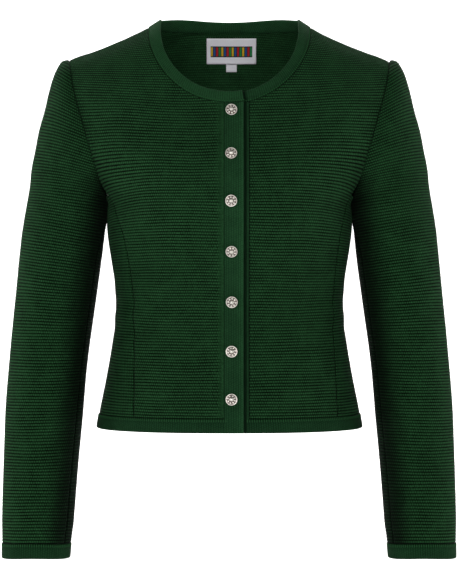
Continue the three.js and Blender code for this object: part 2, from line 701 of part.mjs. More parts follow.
// The normal that the body and the sleeve share at a point of the armhole: where one runs on
// into the other it is halfway between theirs, so that the two walls meet in a mitre.
function seamNormals(i) {
  const at = (k) => armholePlace(...[...armholeRound.at(k % armholeRound.length)].reverse());
  const body = bodyNormal(at(i));
  const { angle, length } = sleeveSeam(i);
  const sleeve = sleeveNode(i ? angle : 0, length + 4).normal;
  const into = at(i + 1).sub(at(i - 1)).cross(body).normalize();
  if (into.dot(vec(1, 0, 0.5)) < 0) into.negate();
  if (sleeve.dot(into) <= 0) return { body, sleeve };
  const shared = sleeve.add(body).normalize();
  return { body: shared, sleeve: shared };
}

function sleeveSeam(i) {
  const [face, share] = armholeRound[i];
  const seam = seamOnSleeve(armholePlace(share, face));
  const turned = face === "back" ? 2 * Math.PI - Math.abs(seam.angle) : Math.abs(seam.angle);
  return { angle: i ? turned : 0, length: seam.length };
}

// Puts those normals on the armhole edges of the body's pieces.
function mitreArmhole(side) {
  const sign = sideSign[side];
  const edgeOfBack = side === "right" ? back[0] : back.at(-1);
  const nodes = [
    ...steps(STEPS.armholeFront).map((_, k) => [front[side].at(-1).at(-1 - k), k]),
    ...steps(STEPS.armholeSide).map((_, k) => [sidePiece[side][k].at(-1), STEPS.armholeFront + k]),
    ...steps(STEPS.back).map((_, k) => [edgeOfBack[STEPS.shapingSeam + k], (FRONT_STEPS + k) % armholeRound.length]),
  ];
  for (const [node, i] of nodes) {
    const { body } = seamNormals(i);
    node.normal = vec(sign * body.x, body.y, body.z);
  }
}

function sleeveGrid() {
  const cuffTop = SLEEVE_LENGTH - CUFF_BAND;
  const flat = armholeRound.map((_, i) => {
    const seam = sleeveSeam(i);
    return steps(STEPS.sleeve).map((v) => ({
      angle: lerp(seam.angle, settledAngle(i), Math.min(1, 3 * v)),
      reach: (lerp(seam.length, cuffTop, v) / SLEEVE_LENGTH) ** (1 / ROW_GROWTH),
    }));
  });
  return relaxed(flat, 2 * Math.PI).map((column, i) =>
    column.map(({ angle, reach }, j) => {
      if (j) return sleeveNode(angle, SLEEVE_LENGTH * reach ** ROW_GROWTH);
      const [face, share] = armholeRound[i];
      const place = armholePlace(share, face).add(vec(SEAM_GAP, 0, 0));
      return { point: place, normal: seamNormals(i).sleeve };
    }),
  );
}

function cuffGrid() {
  return armholeRound.map((_, i) =>
    steps(2).map((f) => sleeveNode(settledAngle(i), lerp(SLEEVE_LENGTH - CUFF_BAND, SLEEVE_LENGTH, f))),
  );
}

// The left arm is the plain one; the right arm is its mirror image.
const mirrorX = (grid) =>
  grid.map((column) =>
    column.map(({ point, normal }) => ({
      point: vec(-point.x, point.y, point.z),
      normal: vec(-normal.x, normal.y, normal.z),
    })),
  );

for (const side of ["right", "left"]) mitreArmhole(side);
add("back", wallOf(trimSeams(back), 0, WALL), knit);
for (const side of ["right", "left"]) {
  add("front_" + side, wallOf(trimSeams(front[side]), 0, WALL), knit);
  add("side_" + side, wallOf(trimSeams(sidePiece[side]), 0, WALL), knit);
  const place = side === "left" ? (grid) => grid : mirrorX;
  const sleeve = trimSeamsRound(sleeveGrid(), ["top"]);
  const cuff = trimSeamsRound(cuffGrid(), ["bottom"]);
  add("sleeve_" + side, wallOf(place(sleeve), 0, WALL, true), knit);
  add("cuff_" + side, wallOf(place(cuff), BAND_PROUD, BAND_WALL - BAND_PROUD, true), knitBand);
}

// The same trim for a tube, whose columns have neighbours on both sides.
function trimSeamsRound(grid, edges) {
  const wrapped = [grid.at(-1), ...grid, grid[0]];
  return trimSeams(wrapped, edges).slice(1, -1);
}

// ---------------------------------------------------------------- buttons
function onPlacket(z) {
  const point = vec(BUTTON.x, depthAt(BUTTON.x, z, "front"), z);
  const normal = bodyNormal(point);
  return { point: point.addScaledVector(normal, LIFT.right + BAND_PROUD), normal };
}

const UP = vec(0, 1, 0);
function buttonGeometry() {
  const { radius, height, shank, clear } = BUTTON;
  // Radius and height of the turned profile: shank, back, rolled rim, groove, dome and boss.
  const profile = [
    [0, -BAND_WALL],
    [shank, -BAND_WALL],
    [shank, 0],
    [0.86 * radius, 0.07 * height],
    [radius, 0.16 * height],
    [0.97 * radius, 0.34 * height],
    [0.84 * radius, 0.42 * height],
    [0.76 * radius, 0.6 * height],
    [0.5 * radius, 0.86 * height],
    [0.26 * radius, 0.92 * height],
    [0.2 * radius, height],
    [0, height],
  ].map(([r, h]) => new THREE.Vector2(r, h + clear));
  return new THREE.LatheGeometry(profile, 14);
}

const wasm = await Module();
wasm.setup();

// A geometry as a solid with shared corners, and back again.
function solidOf(geometry) {
  const position = geometry.getAttribute("position");
  return new wasm.Manifold(
    new wasm.Mesh({
      numProp: 3,
      vertProperties: new Float32Array(position.array),
      triVerts: new Uint32Array(geometry.index.array),
    }),
  );
}

function geometryOf(solid) {
  const mesh = solid.getMesh();
  const geometry = new THREE.BufferGeometry();
  geometry.setAttribute("position", new THREE.BufferAttribute(mesh.vertProperties, 3));
  geometry.setIndex(new THREE.BufferAttribute(mesh.triVerts, 1));
  geometry.computeVertexNormals();
  return geometry;
}

let upperBand = solidOf(placket("right"));
for (const z of BUTTON_HEIGHTS) {
  const { point, normal } = onPlacket(z);
  const turn = new THREE.Quaternion().setFromUnitVectors(vec(0, 0, 1), normal);
  const slit = new THREE.BoxGeometry(BUTTONHOLE.length, BUTTONHOLE.width, 4 * BAND_WALL);
  const merged = facingOut(...boxFaces(slit.applyQuaternion(turn).translate(point.x, point.y, point.z)));
  upperBand = upperBand.subtract(solidOf(merged));
}
add("placket_right", geometryOf(upperBand), knitBand);
add("placket_left", placket("left"), knitBand);

// A box's eight corners, shared by its faces.
function boxFaces(box) {
  const position = box.getAttribute("position");
  const corners = new Map();
  const positions = [];
  const faces = [...box.index.array].map((k) => {
    const place = [position.getX(k), position.getY(k), position.getZ(k)];
    const key = place.map((v) => v.toFixed(3)).join();
    if (!corners.has(key)) corners.set(key, positions.push(...place) / 3 - 1);
    return corners.get(key);
  });
  return [positions, faces];
}

BUTTON_HEIGHTS.forEach((z, i) => {
  const { point, normal } = onPlacket(z);
  const button = add("button_" + (i + 1), buttonGeometry(), metal);
  button.position.copy(point);
  button.quaternion.setFromUnitVectors(UP, normal);
});

// ---------------------------------------------------------------- neck label and size tab
// Both lie on the inside of the back, below the neckband.
function onBackInside(width, top, bottom, gap, wall) {
  const grid = steps(6).map((f) => {
    const x = LABEL.x + lerp(-width / 2, width / 2, f);
    return steps(4).map((v) => {
      const z = lerp(bottom, top, v);
      const point = vec(x, depthAt(x, z, "back"), z);
      const normal = bodyNormal(point);
      return { point: point.addScaledVector(normal, -gap), normal };
    });
  });
  return wallOf(grid, 0, wall);
}
add("neck_label", onBackInside(LABEL.width, LABEL.top, LABEL.top - LABEL.height, LABEL.gap, LABEL.wall), woven);
add("size_tab", onBackInside(TAB.width, TAB.top, TAB.bottom, TAB.gap, TAB.wall), woven);

export default cardigan;
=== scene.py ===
# %% [markdown]
# # A fitted knit cardigan, filled out as it is worn
# The cardigan has two fronts, two side panels, a back and two set-in sleeves in a ridged knit,
# folded bands at every edge, seven cast metal buttons and a woven label. It could be modelled
# as one sheet and cut up, but real knitwear is made to shape in rows and then linked, so here
# each piece is made row by row too. Then its ridges run the way the stitches do. The script
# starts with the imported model, whose boxes and names every piece has to keep to.

# %% The fixed frame
import math

import bmesh
import bpy
import numpy as np
from mathutils import Matrix, Vector


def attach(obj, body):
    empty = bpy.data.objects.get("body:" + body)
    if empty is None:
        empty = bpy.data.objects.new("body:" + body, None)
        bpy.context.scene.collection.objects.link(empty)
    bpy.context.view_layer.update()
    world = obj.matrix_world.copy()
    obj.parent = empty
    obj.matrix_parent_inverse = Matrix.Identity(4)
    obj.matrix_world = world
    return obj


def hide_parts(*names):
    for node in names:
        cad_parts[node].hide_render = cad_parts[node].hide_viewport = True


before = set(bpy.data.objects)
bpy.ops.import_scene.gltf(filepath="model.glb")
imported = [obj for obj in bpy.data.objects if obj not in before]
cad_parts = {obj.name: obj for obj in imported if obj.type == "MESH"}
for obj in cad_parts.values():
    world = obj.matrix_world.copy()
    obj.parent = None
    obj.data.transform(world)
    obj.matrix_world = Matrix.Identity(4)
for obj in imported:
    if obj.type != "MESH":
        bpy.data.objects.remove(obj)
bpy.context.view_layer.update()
MM = 0.001
scene = bpy.context.scene
scene.view_settings.view_transform = "Standard"
print("solids to dress:", len(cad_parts))

# %% [markdown]
# The camera stands 2.3 m in front, level with the middle of the garment, as for a catalogue
# picture. A long lens from far off keeps the sleeves from looking wider than they are. Depth
# of field stays off, so that every stitch is sharp.

# %% Camera
EYE = (0.0, -2300.0, -313.5)


def new_object(name, data):
    """An object at the origin with the given data, put in the scene."""
    thing = bpy.data.objects.new(name, data)
    scene.collection.objects.link(thing)
    return thing


camera = new_object("camera", bpy.data.cameras.new("camera"))
camera.data.sensor_width = 36
camera.data.lens = 119.05
camera.location = Vector(EYE) * MM
camera.rotation_euler = (math.radians(90), 0, 0)
scene.camera = camera
print("camera at", [round(v, 3) for v in camera.location], "lens", camera.data.lens)

# %% [markdown]
# ## The worn body
# The body under the cloth is a stack of level rings. Each ring has a half width and a depth in
# front and behind, and its outline is a superellipse, which is a little squarer than an
# ellipse. The numbers between the rings come from smooth curves through the table. Above the
# chest the depth rolls over to the shoulder line, where front and back meet.

# %% Rings of the body, in millimetres
RING_POWER = 2.3
ROLL_START = {"front": -110.0, "back": -120.0}
FACE_SIGN = {"front": -1, "back": 1}
BODY_RINGS = [  # height, half width, depth in front, depth behind
    (-510, 164, 113, 107), (-486, 161.5, 112, 106), (-462, 157.3, 109.5, 103),
    (-430, 150.8, 104, 97), (-393, 144.2, 97, 89), (-362, 139.9, 93, 84),
    (-338, 138.8, 93, 82.5), (-308, 140.3, 99.5, 84), (-283, 144, 107, 88),
    (-259, 147.6, 114, 92.5), (-240, 149.2, 119.5, 96), (-222, 148.6, 124, 100),
    (-214, 148.5, 125, 101), (-205, 152, 125.5, 102), (-190, 162, 126, 103),
    (-165, 180, 120.5, 105), (-136, 197, 111, 105), (-110, 206, 103, 103),
    (-86, 212, 97.5, 100), (-40, 220, 93, 95), (45, 222, 90, 90),
]
SHOULDER_LINE = [  # distance from the middle, height
    (0, 36), (30, 33), (60, 22), (80, 11.5), (98, 0), (115, -7.5), (129, -14),
    (148, -22), (167, -29.3), (180, -33.6), (195, -40), (215, -49),
]


def curve_of(rows, column):
    """A smooth curve through a table: the given column over the first one."""
    at = np.array([row[0] for row in rows], float)
    value = np.array([row[column] for row in rows], float)
    order = np.arange(len(at))
    before, after = np.maximum(order - 1, 0), np.minimum(order + 1, len(at) - 1)
    slope = (value[after] - value[before]) / (at[after] - at[before])

    def read(place):
        t = np.clip(place, at[0], at[-1])
        i = np.clip(np.searchsorted(at, t, side="right") - 1, 0, len(at) - 2)
        span = at[i + 1] - at[i]
        f = (t - at[i]) / span
        g = 1 - f
        bend = span * f * g * (slope[i] * g - slope[i + 1] * f)
        return value[i] * g * g * (1 + 2 * f) + value[i + 1] * f * f * (1 + 2 * g) + bend

    return read


def unit(vectors):
    return vectors / np.linalg.norm(vectors, axis=-1, keepdims=True)


def smooth(value, low, high):
    """Goes softly from 0 at the low value to 1 at the high one."""
    t = np.clip((value - low) / (high - low), 0, 1)
    return t * t * (3 - 2 * t)


def lengths_along(line):
    """How far each point of a line lies along it."""
    return np.concatenate([[0], np.cumsum(np.linalg.norm(np.diff(line, axis=0), axis=1))])


ring_half = curve_of(BODY_RINGS, 1)
ring_depth = {"front": curve_of(BODY_RINGS, 2), "back": curve_of(BODY_RINGS, 3)}
shoulder_line = curve_of(SHOULDER_LINE, 1)
print("half width at the waist:", float(ring_half(-338.0)), "mm")

# %% [markdown]
# A place on the cloth has two flat coordinates. Its girth runs from 0 at the centre to 1 at the
# side. Its course is the height up the cloth, which is a length over the shoulder where the
# cloth rolls. A row of stitches is a line of one course, so the table below says how far each
# course has rolled at each girth.

# %% Courses on the body
GIRTHS = np.linspace(0, 1, 81)
ROLLS = np.linspace(0, math.pi / 2, 61)


def swing_of(girth):
    """Share of the half width that a place reaches at a girth."""
    return np.sin(np.abs(girth) * math.pi / 2) ** (2 / RING_POWER)


def narrowing(girth):
    """Share of the depth that is left at a girth."""
    return np.maximum(np.cos(np.abs(girth) * math.pi / 2), 0) ** (2 / RING_POWER)


def roll_table(face):
    """Height and course at each girth and roll."""
    start = ROLL_START[face]
    girth, roll = np.meshgrid(GIRTHS, ROLLS, indexing="ij")
    z = np.full_like(girth, start)
    # the height depends on the width and the width on the height, so both are found by steps
    for _ in range(60):
        line = shoulder_line(ring_half(z) * swing_of(girth))
        z = start + np.sin(roll) * (line - start)
    x = ring_half(z) * swing_of(girth)
    y = ring_depth[face](z) * narrowing(girth) * np.cos(roll)
    steps = np.sqrt(np.diff(x) ** 2 + np.diff(y) ** 2 + np.diff(z) ** 2)
    course = start + np.hstack([np.zeros((len(GIRTHS), 1)), np.cumsum(steps, axis=1)])
    return {"z": z, "course": course}


roll_tables = {face: roll_table(face) for face in ROLL_START}
for face, table in roll_tables.items():
    print(face, "course of the shoulder line in the middle:", round(float(table["course"][0, -1]), 1))

# %% [markdown]
# Stretched over a body the rows are not level. Above the bust they climb a little on their way
# to the armhole, and under it the armhole pulls them down. The table gives that climb and fall.

# %% How far a row strays from level
STRAY = [  # course, climb between centre and bust, fall from there to the armhole; in mm
    (-469, 0, 0), (-440, 0, 0), (-400, 0, -1.5), (-355, 0, -2.2), (-308, 0, 0), (-262, 0.4, 2.5),
    (-214, 1.8, 7.0), (-186, 1.8, 7.0), (-150, 4.6, 1.8), (-103, 5.8, -3.0), (-80, 4.6, -9.0),
    (-30, 2.0, -9.0), (20, 0, -4.0),
]
CLIMB_SPAN = (0.08, 0.48)  # in girths
FALL_FROM, FALL_SPAN = 0.25, 0.5
climb_at, fall_at = curve_of(STRAY, 1), curve_of(STRAY, 2)


def stray(row, girth, face):
    """Millimetres by which a row lies above its own course at each girth."""
    girth = np.abs(girth)
    rise = climb_at(row) * smooth(girth, *CLIMB_SPAN) * (face == "front")
    return rise - fall_at(row) * (np.maximum(girth - FALL_FROM, 0) / FALL_SPAN) ** 1.5


def climb_of(x, z, face):
    """Share of the height between the start of the roll and the shoulder line."""
    start = ROLL_START[face]
    return np.clip((z - start) / (shoulder_line(np.abs(x)) - start), 0, 1)


def flat_of(x, z, face):
    """Girth and row of places given in the front view."""
    x, z = np.abs(np.asarray(x, float)), np.asarray(z, float)
    share = np.minimum(1, x / ring_half(z))
    girth = np.arcsin(np.minimum(1, share ** (RING_POWER / 2))) / (math.pi / 2)
    roll = np.arcsin(climb_of(x, z, face))
    low = np.clip((girth * (len(GIRTHS) - 1)).astype(int), 0, len(GIRTHS) - 2)
    part = girth * (len(GIRTHS) - 1) - low
    table = roll_tables[face]["course"]
    course = [
        (1 - p) * np.interp(r, ROLLS, table[i]) + p * np.interp(r, ROLLS, table[i + 1])
        for i, p, r in zip(low, part, roll)
    ]
    course = np.where(z <= ROLL_START[face], z, course)
    row = course
    # how far a row strays depends on the row itself, so it is found by steps
    for _ in range(12):
        row = course - stray(row, girth, face)
    return girth, row


class Course:
    """One row of stitches all the way from the centre to the side."""

    def __init__(self, row, face, level=False):
        self.face = face
        table = roll_tables[face]
        course = row + (0 if level else stray(row, GIRTHS, face)) + 0 * GIRTHS
        rolled = np.array([np.interp(c, line, ROLLS) for c, line in zip(course, table["course"])])
        high = np.array([np.interp(r, ROLLS, line) for r, line in zip(rolled, table["z"])])
        flat = course <= ROLL_START[face]
        self.roll, self.z = np.where(flat, 0, rolled), np.where(flat, course, high)

    def points(self, girth):
        """Places on the row at signed girths."""
        away = np.abs(girth)
        z = np.interp(away, GIRTHS, self.z)
        x = np.sign(girth) * ring_half(z) * swing_of(girth)
        y = FACE_SIGN[self.face] * ring_depth[self.face](z) * narrowing(girth)
        y = y * np.cos(np.interp(away, GIRTHS, self.roll))
        return np.stack([x, y, z], -1)

    def ruler(self):
        """Girths from the centre to the side, and the lengths along the row to them."""
        girth = np.linspace(0, 1, 161)
        return girth, lengths_along(self.points(girth))


def body_normal(point, face):
    """Outward directions, from a function that is 0 on the body's surface."""
    start = ROLL_START[face]

    def level(x, y, z):
        share = np.minimum(1, np.abs(x) / ring_half(z))
        across = np.maximum(1 - share**RING_POWER, 0) ** (2 / RING_POWER)
        climb = np.maximum(0, (z - start) / (shoulder_line(np.abs(x)) - start))
        return (y / ring_depth[face](z)) ** 2 - (1 - climb * climb) * across

    x, y, z = np.moveaxis(point, -1, 0)
    e = 0.05  # a small step, in mm
    slope = np.stack([
        level(x + e, y, z) - level(x - e, y, z),
        level(x, y + e, z) - level(x, y - e, z),
        level(x, y, z + e) - level(x, y, z - e),
    ], -1)
    return unit(slope)


def depth_at(x, z, face):
    """How far forward or back the body's surface lies at places in the front view."""
    share = np.minimum(1, np.abs(x) / ring_half(z))
    narrow = (1 - share**RING_POWER) ** (1 / RING_POWER)
    return FACE_SIGN[face] * ring_depth[face](z) * narrow * np.sqrt(1 - climb_of(x, z, face) ** 2)


def body_place(x, z, face="front"):
    """Points and normals on the body at places in the front view."""
    point = np.stack(np.broadcast_arrays(x, depth_at(x, z, face), z), -1)
    return point, body_normal(point, face)


print("course at the neck end of the shoulder:", np.round(flat_of([98], [0], "front")[1], 1))

# %% [markdown]
# ## Where the seams run
# Each seam is a line in the front view. The neckline is half an ellipse in front and a shallow
# dip behind. The shaping seams curve in at the waist, and run into the armholes under the arms.

# %% Seams in the front view
NECK = {"half": 98.0, "drop": 101.0, "rise": 2.0, "band": 17.5}
HEM_TOP, HEM_BOTTOM = -469.0, -486.0
UNDERARM_Z, SEAM_TOP_Z, TIP = -214.0, -198.0, (195.0, -40.0)
PLACKET = {"right": (-6.5, 16.7), "left": (0.0, 23.0)}
PANEL_EDGE = {"right": 6.5, "left": 23.0}  # from the middle out to each front's own edge
LIFT = {"right": 2.6, "left": -2.4}
LIFT_FADE = 42.0
SIDE_SIGN = {"right": -1, "left": 1}
ARMHOLE = [  # height, distance from the middle
    (-214, 148.5), (-210, 149.2), (-205, 149.8), (-198, 152.3), (-190, 155.5), (-165, 162.5),
    (-136, 171), (-110, 178.5), (-85, 185.5), (-62, 190.5), (-50, 193), (-40, 195),
]
SHAPING_SEAM = [  # height, distance on the right, distance on the left
    (-500, 113, 129), (-463, 113, 128), (-413, 113, 126), (-366, 114, 124.2),
    (-330, 114.8, 124.5), (-298, 117.7, 126.5), (-263, 124, 130.5), (-240, 131, 134.5),
    (-217, 139.5, 141), (-205, 146.5, 147), (-198, 152.3, 152.3),
]
armhole_x = curve_of(ARMHOLE, 1)
shaping_x = {"right": curve_of(SHAPING_SEAM, 1), "left": curve_of(SHAPING_SEAM, 2)}


def lift_of(x, side):
    """How far a front is lifted off the body near its edge; in mm."""
    return LIFT[side] * (1 - smooth(SIDE_SIGN[side] * x - PANEL_EDGE[side], 0, LIFT_FADE))


def neck_height(x):
    """Height of the front neckline above a place off the middle."""
    return -NECK["drop"] * math.sqrt(1 - (x / NECK["half"]) ** 2)


def seam_line(*stretches, face):
    """Girth over course along a seam, from stretches of places in the front view."""
    x = np.concatenate([s[0] for s in stretches])
    z = np.concatenate([s[1] for s in stretches])
    girth, course = flat_of(x, z, face)
    order = np.argsort(course, kind="stable")
    return lambda c: np.interp(c, course[order], girth[order])


def straight_up(x, top):
    """A line up from the hem band at one distance off the middle."""
    z = np.linspace(HEM_TOP, top, 60)
    return np.full_like(z, x), z


def neckline(x_from, face):
    """The neckline from a distance off the centre out to the shoulder."""
    angle = np.linspace(math.asin(x_from / NECK["half"]), math.pi / 2, 90)
    x = NECK["half"] * np.sin(angle)
    if face == "front":
        return x, -NECK["drop"] * np.cos(angle)
    return x, NECK["rise"] * np.cos(angle) ** 2


def up_the_armhole(z_from):
    """The armhole from a height up to the shoulder point."""
    z = np.linspace(z_from, TIP[1], 90)
    return armhole_x(z), z


def along_the_shoulder():
    """The shoulder line from the shoulder point in to the neck."""
    x = np.linspace(TIP[0], NECK["half"], 60)
    return x, shoulder_line(x)


NECK_COURSE = {f: float(flat_of([NECK["half"]], [0], f)[1][0]) for f in ROLL_START}
print("rows end at", {f: round(c, 1) for f, c in NECK_COURSE.items()})

# %% [markdown]
# ## Creases
# Worn cloth drags towards the armpits, folds a little at the elbows and under the bust, and
# goes slack at the waist. A simulation would fold it in its own way each time. Here each crease
# is listed as a soft trough or ridge between two places, with its own width and depth.

# %% Creases, listed one by one
BODY_CREASES = {  # from x, z to x, z, then half width and height; all in mm
    "front": [
        (-150, -196, -104, -176, 8, -1.6), (-149, -206, -96, -206, 9, 1.3),
        (-146, -214, -92, -222, 8, -1.5), (150, -196, 108, -174, 8, -1.6),
        (149, -207, 98, -210, 9, 1.2), (146, -215, 94, -226, 8, -1.4),
        (-118, -252, -58, -262, 11, -1.5), (-112, -268, -40, -276, 12, 1.1),
        (112, -250, 52, -258, 11, -1.4), (108, -270, 44, -280, 12, 1.0),
        (-138, -338, -84, -330, 9, -1.5), (-134, -352, -70, -350, 10, 1.2),
        (-136, -366, -92, -372, 8, -1.1), (137, -336, 86, -328, 9, -1.5),
        (134, -351, 72, -346, 10, 1.2), (136, -366, 98, -372, 8, -1.1),
        (-172, -118, -140, -142, 9, -1.1), (172, -118, 142, -142, 9, -1.1),
        (-60, -300, -30, -304, 10, -0.8), (64, -306, 34, -310, 10, -0.8),
    ],
    "back": [
        (-150, -200, -98, -186, 9, -1.7), (-148, -214, -88, -212, 9, 1.3),
        (150, -200, 98, -186, 9, -1.7), (148, -214, 88, -212, 9, 1.3),
        (-128, -322, -30, -330, 10, -1.8), (-122, -338, -16, -346, 11, 1.4),
        (-120, -354, -40, -362, 9, -1.5), (126, -326, 34, -318, 10, -1.7),
        (124, -342, 20, -336, 11, 1.4), (122, -358, 46, -352, 9, -1.4),
        (-20, -306, 70, -300, 10, 1.0), (-166, -110, -120, -130, 10, -1.2),
        (166, -110, 120, -130, 10, -1.2), (-90, -392, -30, -398, 12, -0.9),
        (88, -388, 36, -394, 12, -0.9),
    ],
}
SLEEVE_CREASES = [  # from around, along to around, along, then half width and height; in mm
    (112, 160, 64, 150, 8, -1.8), (118, 174, 58, 176, 9, 1.4), (120, 190, 66, 200, 9, -1.6),
    (96, 262, 30, 250, 9, -1.7), (104, 278, 36, 272, 10, 1.5), (98, 296, 26, 300, 9, -1.8),
    (84, 314, 20, 322, 10, 1.1), (92, 338, 48, 344, 9, -1.0),
    (-112, 160, -66, 152, 8, -1.7), (-116, 176, -60, 182, 9, 1.3),
    (-24, 276, -78, 270, 10, 1.2), (-18, 292, -84, 294, 10, -1.6), (-30, 310, -76, 316, 10, 1.2),
    (86, 452, 40, 458, 10, -0.9), (78, 508, 34, 516, 9, -0.8), (-40, 448, -86, 452, 10, -0.8),
]


def crease_height(across, up, creases):
    """Height that the creases add at each place."""
    height = np.zeros(np.broadcast(across, up).shape)
    for x0, z0, x1, z1, width, depth in creases:
        dx, dz = x1 - x0, z1 - z0
        t = ((across - x0) * dx + (up - z0) * dz) / (dx * dx + dz * dz)
        near = np.clip(t, 0, 1)
        off = np.hypot(across - x0 - near * dx, up - z0 - near * dz)
        fade = np.maximum(np.sin(math.pi * (0.12 + 0.88 * near)), 0) ** 0.6
        height += depth * fade * np.exp(-((off / width) ** 2))
    return height


def sleeve_creases(side):
    """The creases of one sleeve. The two sides differ a little, as on any worn garment."""
    if side == "left":
        return SLEEVE_CREASES
    return [(a * 0.94, b + 5, c * 1.05, d - 3, *size) for a, b, c, d, *size in SLEEVE_CREASES]


print("creases in front and behind:", [len(creases) for creases in BODY_CREASES.values()])
print("creases in a sleeve:", len(SLEEVE_CREASES))

# %% [markdown]
# ## A knitted wall, row by row
# A panel is a closed shell: an outer face, an inner face and a rim. Its columns are spaced by
# true length along each row, with extra ones at the edges, where the cloth tucks into the seam.
# Each vertex remembers its place across and along the knit, and which way is out. The ridges
# and the yarn both follow those.

# %% Helpers that make a shell
SEAM_TUCK, TUCK_REACH = 0.95, 2.4
FADE_FROM, FADE_TO = 0.2, 2.6  # distances from a seam between which the ridges rise; in mm
EDGE_COLUMNS = np.array([0, 0.7, 1.6, 3.2])
SHORT_ROW = 30.0  # shorter rows get narrower edge columns


def tuck(distance, depth=SEAM_TUCK):
    """Height of the cloth at a distance from a seam that it dips into."""
    return -depth * (1 - np.clip(distance / TUCK_REACH, 0, 1)) ** 2


def waver(across, row):
    """Rows of hand-guided knitting waver a little; in mm."""
    return 0.35 * np.sin(across / 17 + row / 29) * np.sin(row / 11 - across / 47)


def spaced_columns(start, end, count):
    """Lengths of a row's columns: close together at both edges, even between."""
    whole = end - start
    edge = EDGE_COLUMNS * min(1, whole / SHORT_ROW)
    middle = np.linspace(edge[-1], whole - edge[-1], count)[1:-1]
    return start + np.concatenate([edge, middle, whole - edge[::-1]])


def add_values(mesh, values):
    """Gives the vertices named numbers or directions."""
    for key, value in values.items():
        kind, field = ("FLOAT_VECTOR", "vector") if value.ndim == 2 else ("FLOAT", "value")
        mesh.attributes.new(key, kind, "POINT").data.foreach_set(field, value.ravel())


def mesh_piece(name, points, faces, values):
    """A mesh object from points in mm, faces that close it, and values for its vertices."""
    faces = np.asarray(faces)
    corner = points[faces]
    cross = np.cross(corner[:, 1], corner[:, 2]) + np.cross(corner[:, 2], corner[:, 3])
    if np.einsum("ij,ij->", corner[:, 0], cross) < 0:
        faces = faces[:, ::-1]
    mesh = bpy.data.meshes.new(name)
    mesh.from_pydata((points * MM).tolist(), [], faces.tolist())
    mesh.shade_smooth()
    add_values(mesh, values)
    return new_object(name, mesh)


def shell_faces(rows, columns, rim_from=0):
    """Quads of a shell with an outer and an inner grid, and the rim between them."""
    count = rows * columns
    at = np.arange(count).reshape(rows, columns)
    face = np.stack([at[:-1, :-1], at[:-1, 1:], at[1:, 1:], at[1:, :-1]], -1).reshape(-1, 4)

    def rim(line, ahead):
        a, b = (line[:-1], line[1:]) if ahead else (line[1:], line[:-1])
        return np.stack([a, b, b + count, a + count], -1)

    return np.concatenate([
        face, face[:, ::-1] + count,
        rim(at[0], False), rim(at[-1], True), rim(at[:, -1], False), rim(at[rim_from:, 0], True),
    ])


print("columns of a short row:", np.round(spaced_columns(0, SHORT_ROW, 6), 1))

# %% [markdown]
# ## Ridges with Geometry Nodes
# Rows of purl stitches stand up as ridges, with a narrow furrow between them. The same shape
# returns hundreds of times, so a node tree raises it: each vertex moves outwards by a rounded
# wave of its place along the knit. Some unevenness, from a fixed seed, keeps it hand-made.

# %% One way to add a node, and the ridge tree
def linear(hex_colour):
    """An sRGB hex colour as the linear values that a shader takes."""
    channels = [int(hex_colour[k : k + 2], 16) / 255 for k in (1, 3, 5)]
    return (*[c / 12.92 if c <= 0.04045 else ((c + 0.055) / 1.055) ** 2.4 for c in channels], 1)


def add_node(tree, kind, inputs=(), **settings):
    """Adds a node. Settings are its properties, the stops of a ramp, or unlinked inputs. The
    inputs, by name or in order, are sockets, nodes (for their first output) or plain values."""
    node = tree.nodes.new(kind)
    for key, value in settings.items():
        if key == "stops":
            ramp = node.color_ramp.elements
            for k, (position, colour) in enumerate(value):
                stop = ramp[k] if k < 2 else ramp.new(position)
                stop.position, stop.color = position, linear(colour)
        elif hasattr(node, key):
            setattr(node, key, value)
        else:
            node.inputs[key].default_value = value
    for socket, value in inputs.items() if isinstance(inputs, dict) else enumerate(inputs):
        if isinstance(value, bpy.types.Node):
            value = value.outputs[0]
        if isinstance(value, bpy.types.NodeSocket):
            tree.links.new(value, node.inputs[socket])
        else:
            node.inputs[socket].default_value = value
    return node


def new_geometry_tree(name, sizes):
    """An empty tree with a geometry input, named sizes and a material."""
    tree = bpy.data.node_groups.new(name, "GeometryNodeTree")
    tree.interface.new_socket("Geometry", in_out="INPUT", socket_type="NodeSocketGeometry")
    for label, value in sizes.items():
        kind = "NodeSocketInt" if isinstance(value, int) else "NodeSocketFloat"
        tree.interface.new_socket(label, in_out="INPUT", socket_type=kind).default_value = value
    tree.interface.new_socket("Material", in_out="INPUT", socket_type="NodeSocketMaterial")
    tree.interface.new_socket("Geometry", in_out="OUTPUT", socket_type="NodeSocketGeometry")
    return tree, add_node(tree, "NodeGroupInput")


def close_tree(tree, given, geometry):
    """Makes the instances real, gives them the material and sends them out."""
    real = add_node(tree, "GeometryNodeRealizeInstances", [geometry])
    material = given.outputs["Material"]
    done = add_node(tree, "GeometryNodeSetMaterial", {0: real, "Material": material})
    add_node(tree, "NodeGroupOutput", [done])


